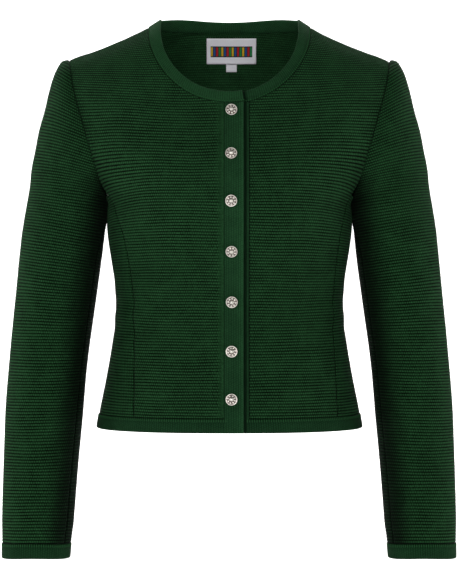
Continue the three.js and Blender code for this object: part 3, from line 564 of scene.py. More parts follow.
def ridge_tree():
    sizes = {"Ridge pitch": 3.4, "Ridge height": 0.45, "Unevenness": 0.25, "Seed": 3}
    tree, given = new_geometry_tree("raised ridges", sizes)
    v = {key: given.outputs[key] for key in sizes}
    for key, kind in (("ridge_mm", "FLOAT"), ("raise", "FLOAT"), ("out", "FLOAT_VECTOR")):
        v[key] = add_node(tree, "GeometryNodeInputNamedAttribute", data_type=kind, Name=key)
    seed = add_node(tree, "ShaderNodeMath", [v["Seed"], 7.31], operation="MULTIPLY")
    noise = {"noise_dimensions": "4D", "Scale": 90.0, "Detail": 2.0}
    v["noise"] = add_node(tree, "ShaderNodeTexNoise", {"W": seed}, **noise)
    for key, operation, *terms in (
        ("phase", "DIVIDE", "ridge_mm", "Ridge pitch"),
        ("phase", "MULTIPLY", "phase", math.pi),
        ("wave", "SINE", "phase"),
        ("wave", "ABSOLUTE", "wave"),
        ("wave", "POWER", "wave", 0.75),
        ("swing", "SUBTRACT", "noise", 0.5),
        ("range", "MULTIPLY", "Unevenness", 4.0),
        ("uneven", "MULTIPLY_ADD", "swing", "range", 1.0),
        ("height", "MULTIPLY", "Ridge height", MM),
        ("height", "MULTIPLY", "height", "wave"),
        ("height", "MULTIPLY", "height", "uneven"),
        ("height", "MULTIPLY", "height", "raise"),
    ):
        v[key] = add_node(tree, "ShaderNodeMath", [v.get(t, t) for t in terms], operation=operation)
    move = {0: v["out"], "Scale": v["height"]}
    move = add_node(tree, "ShaderNodeVectorMath", move, operation="SCALE")
    close_tree(tree, given, add_node(tree, "GeometryNodeSetPosition", {0: given, "Offset": move}))
    return tree


RIDGES = ridge_tree()
print("nodes that raise the ridges:", len(RIDGES.nodes))


def run_tree(piece, tree, inputs):
    """Gives a piece the tree's result as its own plain mesh."""
    modifier = piece.modifiers.new(tree.name, "NODES")
    modifier.node_group = tree
    for item in tree.interface.items_tree:
        if item.item_type == "SOCKET" and item.in_out == "INPUT" and item.name in inputs:
            modifier[item.identifier] = inputs[item.name]
    bpy.context.view_layer.update()
    seen = piece.evaluated_get(bpy.context.evaluated_depsgraph_get())
    mesh = bpy.data.meshes.new_from_object(seen)
    piece.modifiers.clear()
    piece.data = mesh
    mesh.name = piece.name


# %% [markdown]
# ## Yarn
# The cloth is a wool-blend yarn, dyed in the mass and only lightly brushed. It is matt, with a
# faint sheen from loose fibres that stand off the surface. The colour is painted light on the
# ridge tops and nearly black in the furrows between them: partly the yarn's dark green, partly
# painted shade of the relief. The stitches in a row show as small bumps about 2.8 mm apart, with
# painted shade between them, and every second row is set off by half a stitch.

# %% Materials of the cloth
RIDGE_PITCH, SLEEVE_PITCH, STITCH_PITCH, RIB_PITCH = 3.4, 3.6, 2.8, 2.8
ROWS_PER_RIDGE = 4
MATT_WOOL = {"Roughness": 0.95, "Specular IOR Level": 0.06}
LOOSE_FIBRES = {"Sheen Weight": 0.02, "Sheen Roughness": 0.5, "Sheen Tint": linear("#8fb596")}


def new_material(name, values):
    """A material with one shader, whose plain values go by the names of its inputs."""
    material = bpy.data.materials.new(name)
    material.use_nodes = True
    tree = material.node_tree
    tree.nodes.clear()
    shader = add_node(tree, "ShaderNodeBsdfPrincipled", values)
    add_node(tree, "ShaderNodeOutputMaterial", {"Surface": shader})
    return material, tree, shader


def yarn_material(name, colours, ridge_pitch, stitch_pitch, bump, sharp, floor, bead):
    """A yarn whose colour and bump follow the ridges and stitches of its piece."""
    material, tree, shader = new_material(name, MATT_WOOL | LOOSE_FIBRES)
    place = add_node(tree, "ShaderNodeTexCoord").outputs["Object"]
    v = {}
    for key in ("ridge_mm", "stitch_mm", "raise", "plain", "dark"):
        v[key] = add_node(tree, "ShaderNodeAttribute", attribute_name=key).outputs["Fac"]
    for key, scale, detail in (("fibre", 1900.0, 3.0), ("patch", 55.0, 3.0), ("uneven", 430.0, 1.0)):
        v[key] = add_node(tree, "ShaderNodeTexNoise", {"Vector": place}, Scale=scale, Detail=detail)
    for key, operation, *terms in (
        ("phase", "DIVIDE", "ridge_mm", ridge_pitch),
        ("ridge", "MULTIPLY", "phase", math.pi),
        ("ridge", "SINE", "ridge"),
        ("ridge", "ABSOLUTE", "ridge"),
        ("ridge", "POWER", "ridge", sharp),
        # every second row is set off by half a stitch
        ("row", "FLOOR", "phase"),
        ("stitch", "DIVIDE", "stitch_mm", stitch_pitch),
        ("stitch", "MULTIPLY_ADD", "row", 0.5, "stitch"),
        ("stitch", "MULTIPLY", "stitch", math.pi),
        ("stitch", "SINE", "stitch"),
        ("stitch", "ABSOLUTE", "stitch"),
        ("stitch", "MULTIPLY_ADD", "stitch", bead, 1.0 - bead),
        ("loops", "MULTIPLY", "ridge", "stitch"),
        # light of the loops with their fibres, or of plain cloth where the ridges fade; low in the
        # furrows between loops, as painted shade of the relief
        ("light", "MULTIPLY", "fibre", 0.2),
        ("light", "MULTIPLY_ADD", "loops", bead + 0.2, "light"),
        ("looped", "SUBTRACT", 1.0, "plain"),
        ("light", "MULTIPLY", "light", "looped"),
        ("plain light", "MULTIPLY_ADD", "fibre", 0.3, 0.53),
        ("light", "MULTIPLY_ADD", "plain light", "plain", "light"),
        # patches of wear, and loops of uneven size
        ("patch", "SUBTRACT", "patch", 0.5),
        ("light", "MULTIPLY_ADD", "patch", 0.4, "light"),
        ("uneven", "SUBTRACT", "uneven", 0.5),
        ("light", "MULTIPLY_ADD", "uneven", 0.5, "light"),
        # darker where the ridges fade into a seam or at an end, as painted shade, and by the dark
        # attribute, which paints shade, highlights and darker tones
        ("open", "MULTIPLY", "raise", 1.6),
        ("open", "MAXIMUM", "open", "plain"),
        ("open", "MINIMUM", "open", 1.0),
        ("open", "MULTIPLY_ADD", "open", 1.0 - floor, floor),
        ("light", "MULTIPLY", "light", "open"),
        ("lit", "SUBTRACT", 1.0, "dark"),
        ("light", "MULTIPLY", "light", "lit"),
        ("height", "MULTIPLY_ADD", "fibre", 0.35, "loops"),
    ):
        v[key] = add_node(tree, "ShaderNodeMath", [v.get(t, t) for t in terms], operation=operation)
    ramp = add_node(tree, "ShaderNodeValToRGB", [v["light"]], stops=tuple(zip((0.08, 1.0), colours)))
    relief = add_node(tree, "ShaderNodeBump", {"Height": v["height"]}, Strength=0.7, Distance=bump * MM)
    tree.links.new(ramp.outputs[0], shader.inputs["Base Color"])
    tree.links.new(relief.outputs[0], shader.inputs["Normal"])
    return material


# The first colour of each pair is that of the furrows, nearly black as painted shade on top of the
# yarn's dark green; the second is that of the ridge tops.
PURL_COLOURS, BAND_COLOURS = ("#010702", "#234d2b"), ("#05180a", "#21482a")
YARNS = {  # colours, ridge and stitch pitch, bump, sharpness, light in the seams, depth of a stitch
    "brushed_wool_purl": (PURL_COLOURS, RIDGE_PITCH, STITCH_PITCH, 0.7, 2.1, 0.4, 0.95),
    "brushed_wool_purl_sleeve": (PURL_COLOURS, SLEEVE_PITCH, STITCH_PITCH, 0.7, 1.9, 0.4, 0.9),
    "plain_wool_band": (BAND_COLOURS, RIB_PITCH, 2.0, 0.35, 0.5, 0.08, 0.7),
}
CLOTH = {  # yarn, ridge pitch and ridge height in mm, slot
    "body": ("brushed_wool_purl", RIDGE_PITCH, 0.5, "knit"),
    "sleeve": ("brushed_wool_purl_sleeve", SLEEVE_PITCH, 0.5, "knit"),
    "band": ("plain_wool_band", RIB_PITCH, 0.1, "knit_band"),
}
yarns = {name: yarn_material(name, *values) for name, values in YARNS.items()}
print("yarns:", ", ".join(yarns))


def finish_cloth(piece, kind, replaced, flat):
    """Raises the ridges, hangs the piece on the frame's root and hides the solid that it replaces."""
    yarn, pitch, height, slot = CLOTH[kind]
    run_tree(piece, RIDGES, {"Ridge pitch": pitch, "Ridge height": height, "Material": yarns[yarn]})
    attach(piece, "root")
    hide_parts(replaced)
    print(f"{piece.name}: {len(piece.data.polygons)} faces, flat {flat[0]:.3f} x {flat[1]:.3f} m")


# %% [markdown]
# ## Fronts, sides and back
# Every panel of the body is a stack of rows between two seams. A front runs from its front edge,
# and higher up from the neckline, to the shaping seam, then the armhole, then the shoulder. The
# rows are a quarter of a ridge apart, so each ridge is rounded.

# %% Panels of the body
WALL = 2.0
SINK = 0.3  # the surface of the body is midway through the knit's relief
# The inner face is half plain: smoother, as the reverse of the knit is, and painted lighter, as painted
# light inside the garment.
INNER_RAISE, INNER_PLAIN = 0.6, 0.5  # the inner face has lower, softer ridges
FOOT_RAISE = 0.6  # at the first row the ridges have already begun to rise
NARROWEST = 0.05  # where a panel ends in a point, its last rows keep this width


def body_rows(courses, start_line, end_line, face, sign, count, from_side=False):
    """Points, normals, place across the knit and edge distances of a stack of rows."""
    points, across, edges = [], [], []
    for course in courses:
        row = Course(course, face)
        girth, ruler = row.ruler()
        s0, s1 = np.interp([start_line(course), end_line(course)], girth, ruler)
        lengths = spaced_columns(s0, max(s1, s0 + NARROWEST), count)
        points.append(row.points(sign * np.interp(lengths, ruler, girth)))
        across.append(sign * (ruler[-1] - lengths if from_side else lengths))
        edges.append([lengths - lengths[0], lengths[-1] - lengths])
    points = np.array(points)
    return points, body_normal(points, face), np.array(across), np.array(edges)


def shoulder_ease(x, z):
    """The cloth settles a little under the shoulder line, more on the wearer's left."""
    near = smooth(z - shoulder_line(np.abs(x)), -16, 0) * smooth(np.abs(x), 98, 116)
    return near * np.where(x < 0, 0.9 * (1 - smooth(-x, 170, 190)), 1.7)


def knit_values(ridge, across, field, out):
    """Vertex values of the outer and the inner face of a ridged wall."""
    return {
        "ridge_mm": np.tile((ridge + waver(across, ridge)).ravel(), 2),
        "stitch_mm": np.tile(across.ravel(), 2),
        "raise": np.concatenate([field.ravel(), INNER_RAISE * field.ravel()]),
        "out": np.concatenate([out.reshape(-1, 3), -out.reshape(-1, 3)]),
    }


def flat_size(across, rows):
    """A piece's widest row and its longest course, in metres."""
    return float(np.ptp(across, axis=1).max()) * MM, float(rows[-1] - rows[0]) * MM


def panel_walls(points, normals, across, edges, courses, creases, lift=0, start_tuck=SEAM_TUCK):
    """Outer and inner grids of a panel with its creases, and the vertex values."""
    x, z = points[..., 0], points[..., 2]
    rise = crease_height(x, z, creases) + lift - shoulder_ease(x, z) - SINK
    to_start, to_end = edges[:, 0], edges[:, 1]
    ridge = courses[:, None] + np.zeros_like(across)
    up = ridge - courses[0]
    near_tip = 1 - 0.7 * smooth(z, -75, -45)
    seam = tuck(to_start, start_tuck) + tuck(to_end) * near_tip + tuck(up)
    outer = points + normals * (rise + np.maximum(seam, -SEAM_TUCK))[..., None]
    inner = points + normals * (rise - WALL)[..., None]
    if not start_tuck:
        to_start = to_start + FADE_TO  # no seam here, so the ridges don't fade
    nearest = np.minimum(np.minimum(to_start, to_end), up + FOOT_RAISE)
    values = knit_values(ridge, across, smooth(nearest, FADE_FROM, FADE_TO), normals)
    # the inner face is painted half plain and lighter, partly the smoother reverse of the knit, partly
    # painted light
    values["plain"] = np.repeat([0, INNER_PLAIN], across.size).astype(float)
    return np.concatenate([outer.reshape(-1, 3), inner.reshape(-1, 3)]), values


def row_courses(top):
    """Courses a quarter of a ridge apart, from the hem band up, in step with the ridges."""
    step = RIDGE_PITCH / ROWS_PER_RIDGE
    first = math.ceil(HEM_TOP / step) * step
    return np.concatenate([[HEM_TOP], np.arange(first + step, top - 0.3, step)])


print("rows in a front:", len(row_courses(NECK_COURSE["front"])))

# %% [markdown]
# The right front lies over the left one, so near the front edges the right one is lifted off
# the body and the left one sinks a little.

# %% Two fronts
def make_front(side):
    edge = PANEL_EDGE[side]
    up_the_front = straight_up(edge, neck_height(edge) - 0.5)
    start = seam_line(up_the_front, neckline(edge, "front"), face="front")
    z = np.linspace(HEM_TOP, SEAM_TOP_Z - 0.5, 90)
    shaping = (shaping_x[side](z), z)
    end = seam_line(shaping, up_the_armhole(SEAM_TOP_Z), along_the_shoulder(), face="front")
    courses = row_courses(NECK_COURSE["front"])
    grid = body_rows(courses, start, end, "front", SIDE_SIGN[side], 24)
    lift = lift_of(grid[0][..., 0], side)
    points, values = panel_walls(*grid, courses, BODY_CREASES["front"], lift, start_tuck=0.25)
    if side == "right":
        # this edge was knitted on with its band, so the ridges fade into it without a seam
        fade = np.tile(smooth(-grid[0][..., 0] - edge, 0.5, 9).ravel(), 2)
        values["raise"] = values["raise"] * fade
        values["plain"] = np.maximum(1 - fade, values["plain"])
    piece = mesh_piece("knit_front_" + side, points, shell_faces(*grid[2].shape), values)
    finish_cloth(piece, "body", "front_" + side, flat_size(grid[2], courses))


for side in SIDE_SIGN:
    make_front(side)

# %% [markdown]
# The side panels fill the gap between the shaping seam and the side seam. Their stitches are
# counted from the side seam, which runs straight up.

# %% Two side panels
def make_side(side):
    z = np.linspace(HEM_TOP, SEAM_TOP_Z, 90)
    start = seam_line((shaping_x[side](z), z), face="front")
    side_z = np.linspace(HEM_TOP, UNDERARM_Z - 0.5, 60)
    under_z = np.linspace(UNDERARM_Z, SEAM_TOP_Z, 40)
    under_arm = (np.minimum(armhole_x(under_z), ring_half(under_z)), under_z)
    end = seam_line((ring_half(side_z), side_z), under_arm, face="front")
    courses = row_courses(SEAM_TOP_Z)
    grid = body_rows(courses, start, end, "front", SIDE_SIGN[side], 6, from_side=True)
    points, values = panel_walls(*grid, courses, BODY_CREASES["front"])
    piece = mesh_piece("knit_side_" + side, points, shell_faces(*grid[2].shape), values)
    finish_cloth(piece, "body", "side_" + side, flat_size(grid[2], courses))


for side in SIDE_SIGN:
    make_side(side)

# %% [markdown]
# The back is one piece. Its rows are made from the centre to one side, and the other half is
# the mirror image, welded down the centre as far as the neckline.

# %% The back
def make_back():
    bottom_z = flat_of([0.0], [NECK["rise"]], "back")[1][0]
    neck_line = seam_line(neckline(0.0, "back"), face="back")
    z = np.linspace(HEM_TOP, UNDERARM_Z - 0.5, 60)
    side_seam = (ring_half(z), z)
    end = seam_line(side_seam, up_the_armhole(UNDERARM_Z), along_the_shoulder(), face="back")
    courses = row_courses(NECK_COURSE["back"])
    split = int(np.searchsorted(courses, bottom_z))
    start = lambda c: neck_line(c) if c > bottom_z else 0.0
    grid = body_rows(courses, start, end, "back", 1, 23)
    half, values = panel_walls(*grid, courses, BODY_CREASES["back"], start_tuck=0.0)
    mirrored, other = half * (-1, 1, 1), dict(values, out=values["out"] * (-1, 1, 1))
    other["stitch_mm"] = -values["stitch_mm"]
    # the mirrored half gets its own creases, because the two sides of a back differ
    shift = crease_height(mirrored[:, 0], mirrored[:, 2], BODY_CREASES["back"])
    shift = shift - crease_height(half[:, 0], half[:, 2], BODY_CREASES["back"])
    sense = np.repeat([1, -1], len(half) // 2)[:, None]
    mirrored = mirrored + other["out"] * sense * shift[:, None]
    rows, columns = grid[2].shape
    faces = shell_faces(rows, columns, rim_from=split - 1)
    middle = np.arange(split) * columns
    middle = np.concatenate([middle, middle + rows * columns])
    twin = np.arange(len(half)) + len(half)
    twin[middle] = middle
    kept = np.concatenate([np.ones(len(half), bool), ~np.isin(np.arange(len(half)), middle)])
    number = np.cumsum(kept) - 1
    all_faces = number[np.concatenate([faces, twin[faces][:, ::-1]])]
    both = {key: np.concatenate([values[key], other[key]])[kept] for key in values}
    piece = mesh_piece("knit_back", np.concatenate([half, mirrored])[kept], all_faces, both)
    width, length = flat_size(grid[2], courses)
    finish_cloth(piece, "body", "back", (2 * width, length))


make_back()

# %% [markdown]
# ## Sleeves
# A sleeve is a tube on its own stack of rings, tilted at the head so that the outer side is
# raised. Near the armhole each ring bends to meet the body's edge. A row goes from the front of
# the armhole round the outside of the arm to the back of it, and below the underarm all the
# way round to the sleeve's own seam.

# %% The sleeve's tube
SLEEVE_RINGS = [  # centre x, y, z, tilt in degrees, half width across, half depth
    (195, 0, -40, 20, 0.5, 1), (194, 0, -44, 21, 9.2, 17.5), (192, 0, -57, 34, 18.8, 34.5),
    (189.2, 0, -75.1, 35, 29.5, 47.6), (185.2, 0, -98.3, 32, 40, 57.4),
    (180.9, 0, -123.8, 28, 49.5, 62.3), (180.6, 0, -148.5, 24, 56, 62.6),
    (185.3, 0, -169.4, 20, 54.6, 60.5), (193.4, 1, -186.4, 16, 49.5, 58.5),
    (195.9, 1, -203.6, 12.5, 48.3, 57.5), (203.7, 2, -259, 9, 49.8, 56.5),
    (212.2, 0, -332, 7, 48.6, 54), (219, -5, -393, 5.5, 47.3, 51), (224, -12, -454, 4, 46.3, 47.5),
    (227.3, -22, -515, 2.5, 44.2, 43), (229.8, -33, -576, 1, 42.4, 38.5),
    (231.5, -44, -635.5, 0, 40.4, 34),
]
CUFF_BAND = 18.0
SNAP_ANGLE, SNAP_LENGTH = math.radians(75), 60.0


def ring_lengths():
    """Each ring's place along the sleeve: the length of a line in its outer half."""
    rings = np.array(SLEEVE_RINGS, float)
    tilt, reach = np.radians(rings[:, 3]), 0.6 * rings[:, 4]
    line = np.stack([rings[:, 0] + reach * np.cos(tilt), rings[:, 2] + reach * np.sin(tilt)], -1)
    return lengths_along(line)


lengths_of_rings = ring_lengths()
SLEEVE_LENGTH = float(lengths_of_rings[-1])
ring_rows = [(length, *ring) for length, ring in zip(lengths_of_rings, SLEEVE_RINGS)]
ring_curves = [curve_of(ring_rows, k) for k in range(1, 7)]
ring_x, ring_y, ring_z, ring_tilt, ring_across, ring_deep = ring_curves


def plain_radius(angle, length):
    """Radius of the sleeve's ring, as if there were no armhole."""
    return 1 / np.hypot(np.cos(angle) / ring_across(length), np.sin(angle) / ring_deep(length))


def armhole_on_sleeve(face):
    """The armhole in the sleeve's terms: length along it, angle round it and radius."""
    share = 1 - np.linspace(0, 1, 49)
    z = UNDERARM_Z + (TIP[1] - UNDERARM_Z) * (1 - np.cos(math.pi * share)) / 2
    x = armhole_x(z)
    y = depth_at(x, z, face)
    # the ring that passes through each place is found by halving
    low, high = np.zeros_like(z), np.full_like(z, SLEEVE_LENGTH)
    for _ in range(40):
        middle = (low + high) / 2
        tilt = np.radians(ring_tilt(middle))
        beyond = (x - ring_x(middle)) * np.sin(tilt) - (z - ring_z(middle)) * np.cos(tilt) > 0
        low, high = np.where(beyond, middle, low), np.where(beyond, high, middle)
    tilt = np.radians(ring_tilt(low))
    out = (x - ring_x(low)) * np.cos(tilt) + (z - ring_z(low)) * np.sin(tilt)
    fore = ring_y(low) - y
    return {"length": low, "angle": np.abs(np.arctan2(fore, out)), "radius": np.hypot(out, fore)}


armhole_seam = {face: armhole_on_sleeve(face) for face in ROLL_START}
UNDERARM_LENGTH = float(armhole_seam["front"]["length"][-1])


def read_seam(face, column, length):
    """Angle or radius of the armhole at a length along the sleeve."""
    seam = armhole_seam[face]
    return np.interp(np.clip(length, 0, UNDERARM_LENGTH), seam["length"], seam[column])


def sleeve_point(angle, length):
    """A place on the wearer's left sleeve: angle 0 is outward, a quarter turn the front."""
    radius = plain_radius(angle, length)
    below = np.clip((length - UNDERARM_LENGTH) / SNAP_LENGTH, 0, 1)
    turn = np.arccos(np.clip(np.cos(angle), -1, 1))
    pull = 0
    for face, here in (("front", np.sin(angle) >= 0), ("back", np.sin(angle) < 0)):
        seam_angle = read_seam(face, "angle", length)
        reach = np.clip(1 - np.abs(seam_angle - turn) / SNAP_ANGLE, 0, 1)
        plain = plain_radius(seam_angle, np.minimum(length, UNDERARM_LENGTH))
        pull = pull + here * (read_seam(face, "radius", length) - plain) * reach**2
    radius = radius + pull * (1 - below) ** 2
    tilt = np.radians(ring_tilt(length))
    out, fore = radius * np.cos(angle), radius * np.sin(angle)
    x, z = ring_x(length) + out * np.cos(tilt), ring_z(length) + out * np.sin(tilt)
    return np.stack(np.broadcast_arrays(x, ring_y(length) - fore, z), -1)


def sleeve_normal(angle, length):
    """Outward directions, square to the lines round and along the sleeve."""
    around = sleeve_point(angle + 0.01, length) - sleeve_point(angle - 0.01, length)
    along = sleeve_point(angle, length + 0.5) - sleeve_point(angle, np.maximum(0, length - 0.5))
    return unit(np.cross(around, along))


print(f"sleeve {SLEEVE_LENGTH:.0f} mm down its outside, underarm at {UNDERARM_LENGTH:.0f} mm")

# %% [markdown]
# The sleeve's seam starts at the underarm and swings a little to the front on its way down, so
# it shows along the inner edge of each sleeve.

# %% Two sleeves
SEAM_SWING, SEAM_LAP = math.radians(152), 0.03
CUFF_HANG = 4.0  # the cuff hangs lower at its sides than in front
NEARER = {"right": 0.0, "left": 1.0}  # how far each forearm hangs nearer to the body, in mm


def hang(angle, length, side):
    """How far the sleeve hangs down towards its cuff, and in towards the body."""
    low = smooth(length, SLEEVE_LENGTH - 150, SLEEVE_LENGTH - CUFF_BAND)
    drop = CUFF_HANG * (0.3 + 0.7 * np.cos(angle) ** 2) * low
    nearer = NEARER[side] * smooth(length, UNDERARM_LENGTH + 10, UNDERARM_LENGTH + 90)
    return np.stack(np.broadcast_arrays(-nearer, 0, -drop), -1)


SLEEVE_STRAY = [  # row, how far it drops on the outside of the arm and rises inside; in mm
    (0, 0), (50, 3), (90, 6.5), (150, 6), (195, 0.5), (255, 0), (300, 3.5), (400, 4.5),
    (470, 3), (540, 1), (600, 0), (700, 0),
]
drop_at = curve_of(SLEEVE_STRAY, 1)


def seam_rows(face):
    """The row that meets each place of the armhole."""
    seam = armhole_seam[face]
    row = seam["length"]
    for _ in range(12):
        row = seam["length"] - drop_at(row) * np.cos(seam["angle"])
    return row


seam_row = {face: seam_rows(face) for face in ROLL_START}
UNDERARM_ROW = float(seam_row["front"][-1])


def sleeve_span(row):
    """The angles at which a row starts at the back and ends in front."""
    if row < UNDERARM_ROW:
        front = float(np.interp(row, seam_row["front"], armhole_seam["front"]["angle"]))
        behind = float(np.interp(row, seam_row["back"], armhole_seam["back"]["angle"]))
        return -behind - SEAM_LAP, front + SEAM_LAP
    turned = float(smooth(row - UNDERARM_ROW, 0, 70))
    end = math.pi + (SEAM_SWING - math.pi) * turned
    return end - 2 * math.pi, end


def sleeve_fullness(angles, down):
    """Height of the sleeve's own bulges: under the armpit and above the cuff; in mm."""
    inner_side = smooth(np.abs(angles), math.radians(115), math.radians(165))
    armpit = 2.4 * inner_side * np.exp(-(((down - UNDERARM_LENGTH - 14) / 15) ** 2))
    above_cuff = SLEEVE_LENGTH - down
    full = (1 - smooth(above_cuff, 150, 230)) * smooth(above_cuff, 20, 45)
    return armpit + 1.3 * full * (0.75 - 0.25 * np.cos(angles))


def sleeve_shade(angles, down, to_seam):
    """The side towards the body lies in shade, and the armpit most of all."""
    dark = 0.1 * smooth(np.abs(angles), 0.7, 1.5) + 0.64 * smooth(np.abs(angles), 1.75, 2.5)
    below = 1 - smooth(down, UNDERARM_LENGTH + 20, UNDERARM_LENGTH + 60)
    armpit = smooth(down, 120, 165) * below * (1 - smooth(to_seam, 5, 17))
    return np.maximum(dark, 0.9 * armpit)


def make_sleeve(side):
    step, end_row = SLEEVE_PITCH / ROWS_PER_RIDGE, SLEEVE_LENGTH - CUFF_BAND
    rows = np.append(np.arange(step, end_row - step / 2, step), end_row)
    angles, across, edges = [], [], []
    for row in rows:
        fine = np.linspace(*sleeve_span(row), 181)
        line = sleeve_point(fine, np.maximum(row + drop_at(row) * np.cos(fine), 0.5))
        ruler = lengths_along(line)
        lengths = spaced_columns(0, ruler[-1], 42)
        angles.append(np.interp(lengths, ruler, fine))
        across.append(lengths - np.interp(0, fine, ruler))
        edges.append([lengths, lengths[-1] - lengths])
    angles, across, edges = np.array(angles), np.array(across), np.array(edges)
    along = rows[:, None] + np.zeros_like(angles)
    down = np.maximum(along + drop_at(along) * np.cos(angles), 0.5)
    points, normals = sleeve_point(angles, down), sleeve_normal(angles, down)
    points = points + hang(angles, down, side)
    rise = crease_height(across, along, sleeve_creases(side)) + sleeve_fullness(angles, down)
    to_seam, to_cuff = edges.min(axis=1), end_row - along
    near_tip = 0.3 + 0.7 * smooth(along, 5, 40)
    seam = (tuck(edges[:, 0]) + tuck(edges[:, 1])) * near_tip + tuck(to_cuff)
    outer = points + normals * (rise + np.maximum(seam, -SEAM_TUCK))[..., None]
    inner = points + normals * (rise - WALL)[..., None]
    mirror = np.array((SIDE_SIGN[side], 1, 1))
    field = smooth(np.minimum(to_seam, to_cuff + FOOT_RAISE), FADE_FROM, FADE_TO)
    values = knit_values(along, across, field, normals * mirror)
    values["dark"] = np.tile(sleeve_shade(angles, down, to_seam).ravel(), 2)
    walls = np.concatenate([outer.reshape(-1, 3), inner.reshape(-1, 3)]) * mirror
    piece = mesh_piece("knit_sleeve_" + side, walls, shell_faces(*angles.shape), values)
    finish_cloth(piece, "sleeve", "sleeve_" + side, flat_size(across, rows))


for side in SIDE_SIGN:
    make_sleeve(side)

# %% [markdown]
# ## Bands
# Every edge ends in a plain knit band, folded in two and linked on. The fold is round and a
# little fat, and the joined edge dips into the seam. A band is made as a closed section that
# is carried along its edge, and the same ridge tree draws its fine upright stitches.

# %% How a band is carried along an edge
BAND_WALL, BAND_PROUD = 3.2, 0.6
BAND_MIDDLE = BAND_PROUD - BAND_WALL / 2
EDGE_DARK = 0.34  # the hem and cuffs are knitted a little looser, and look darker
EDGE_STITCHES, NECK_STITCHES = (2.7, 4.6), (1.6, 2.6)  # middle across the band, length; in mm
COLUMN_STEP = 0.7
SEAM_REACH = -0.1  # the joined edge starts a little inside the seam, so that no light shows
END_ROUND = 1.6  # an open end is rounded over this length


def band_section(width, seam_dip=0.75):
    """Places across the band and heights off the cloth, once round the folded section."""
    radius, lower = BAND_WALL / 2, 2 * BAND_MIDDLE
    top = [(SEAM_REACH, -seam_dip), (0.8, 0.1), (2.0, BAND_PROUD - 0.05)]
    across = np.linspace(4.5, width - 4, 4)
    flat_part = [(v, BAND_PROUD + 0.12 * math.sin(math.pi * v / width)) for v in across]
    fold = []
    for a in np.radians((90, 60, 30, 0, -30, -60, -90)):
        fold.append((width - radius + radius * math.cos(a), BAND_MIDDLE + radius * math.sin(a)))
    under = [(v, lower - h) for v, h in reversed(flat_part)]
    under += [(2.0, lower - BAND_PROUD), (SEAM_REACH, lower - BAND_PROUD + 0.5)]
    return np.array(top + flat_part + fold + under)


def make_band(name, replaced, section, place_at, along, flat, closed=False, mirror=1,
              stitches=None, upright=False, dark=0):
    """Carries a section along an edge. place_at(v) gives every column's point and normal."""
    count, columns = len(section), len(along)
    near = np.minimum(along - along[0], along[-1] - along)
    ends = np.sqrt(1 - (1 - np.clip(near / END_ROUND, 0.12, 1)) ** 2)
    if closed:
        ends = np.ones(columns)
    points, outs = [], []
    for v, height in section:
        point, normal = place_at(v)
        points.append(point + normal * (BAND_MIDDLE + (height - BAND_MIDDLE) * ends)[:, None])
        outs.append(normal * np.sign(height - BAND_MIDDLE + 1e-6))
    at = np.arange(count * columns).reshape(count, columns)
    around = np.vstack([at, at[:1]])
    if closed:
        around = np.hstack([around, around[:, :1]])
    faces = [around[:-1, :-1], around[:-1, 1:], around[1:, 1:], around[1:, :-1]]
    faces = np.stack(faces, -1).reshape(-1, 4)
    if not closed:
        for line, turn in ((at[:, 0], 1), (at[:, -1], -1)):
            caps = [(line[k], line[k + 1], line[-k - 2], line[-k - 1]) for k in range(count // 2 - 1)]
            faces = np.vstack([faces, np.array(caps)[:, ::turn]])
    raised = smooth(section[:, :1], 0.3, 1.6) * ends
    # where a band has linking stitches, painted shade darkens it along its seam, under the stitches
    if stitches:
        dark = dark + 0.35 * (1 - smooth(section[:, :1], 3.5, 5.5))
    lengthways, crossways = np.tile(along, count), np.repeat(section[:, 0], columns)
    values = {
        "ridge_mm": crossways if upright else lengthways,
        "stitch_mm": lengthways if upright else crossways,
        "raise": raised.ravel(),
        "dark": (dark + 0 * raised).ravel(),
        "out": (np.array(outs) * (mirror, 1, 1)).reshape(-1, 3),
    }
    points = (np.array(points) * (mirror, 1, 1)).reshape(-1, 3)
    piece = mesh_piece(name, points, faces, values)
    extra = [linking(name, place_at, closed, mirror, *stitches)] if stitches else []
    finish_cloth(piece, "band", replaced, flat)


def spread(length, closed=False):
    """Even places for the columns of a band."""
    count = max(8, round(length / COLUMN_STEP))
    return np.linspace(0, length, count, endpoint=not closed)


# %% [markdown]
# A band is linked on stitch by stitch, and each stitch shows as a short upright loop just below
# the seam. Hundreds of them could be placed one by one, but a node tree can lay one small loop
# at every step along the seam and turn it square to the seam.

# %% Linking stitches with Geometry Nodes
def linking_tree():
    sizes = {"Stitch pitch": 2.8, "Stitch length": 4.6, "Stitch width": 1.5, "Stitch height": 0.8}
    tree, given = new_geometry_tree("linking stitches", sizes)
    v = {}
    for key in sizes:
        v[key] = add_node(tree, "ShaderNodeMath", [given.outputs[key], MM], operation="MULTIPLY")
    kind = "FLOAT_VECTOR"
    for key in ("out", "down"):
        v[key] = add_node(tree, "GeometryNodeInputNamedAttribute", data_type=kind, Name=key)
    curve = add_node(tree, "GeometryNodeMeshToCurve", [given])
    steps = {0: curve, "Length": v["Stitch pitch"]}
    steps = add_node(tree, "GeometryNodeResampleCurve", steps, mode="LENGTH")
    loop = add_node(tree, "GeometryNodeMeshUVSphere", Segments=8, Rings=5, Radius=0.5)
    loop = add_node(tree, "GeometryNodeSetShadeSmooth", [loop])
    turn = add_node(tree, "FunctionNodeAlignRotationToVector", {"Vector": v["out"]}, axis="Z")
    turn = {"Rotation": turn, "Vector": v["down"]}
    turn = add_node(tree, "FunctionNodeAlignRotationToVector", turn, axis="Y", pivot_axis="Z")
    scale = [v["Stitch width"], v["Stitch length"], v["Stitch height"]]
    scale = add_node(tree, "ShaderNodeCombineXYZ", scale)
    laid = {"Points": steps, "Instance": loop, "Rotation": turn, "Scale": scale}
    close_tree(tree, given, add_node(tree, "GeometryNodeInstanceOnPoints", laid))
    return tree


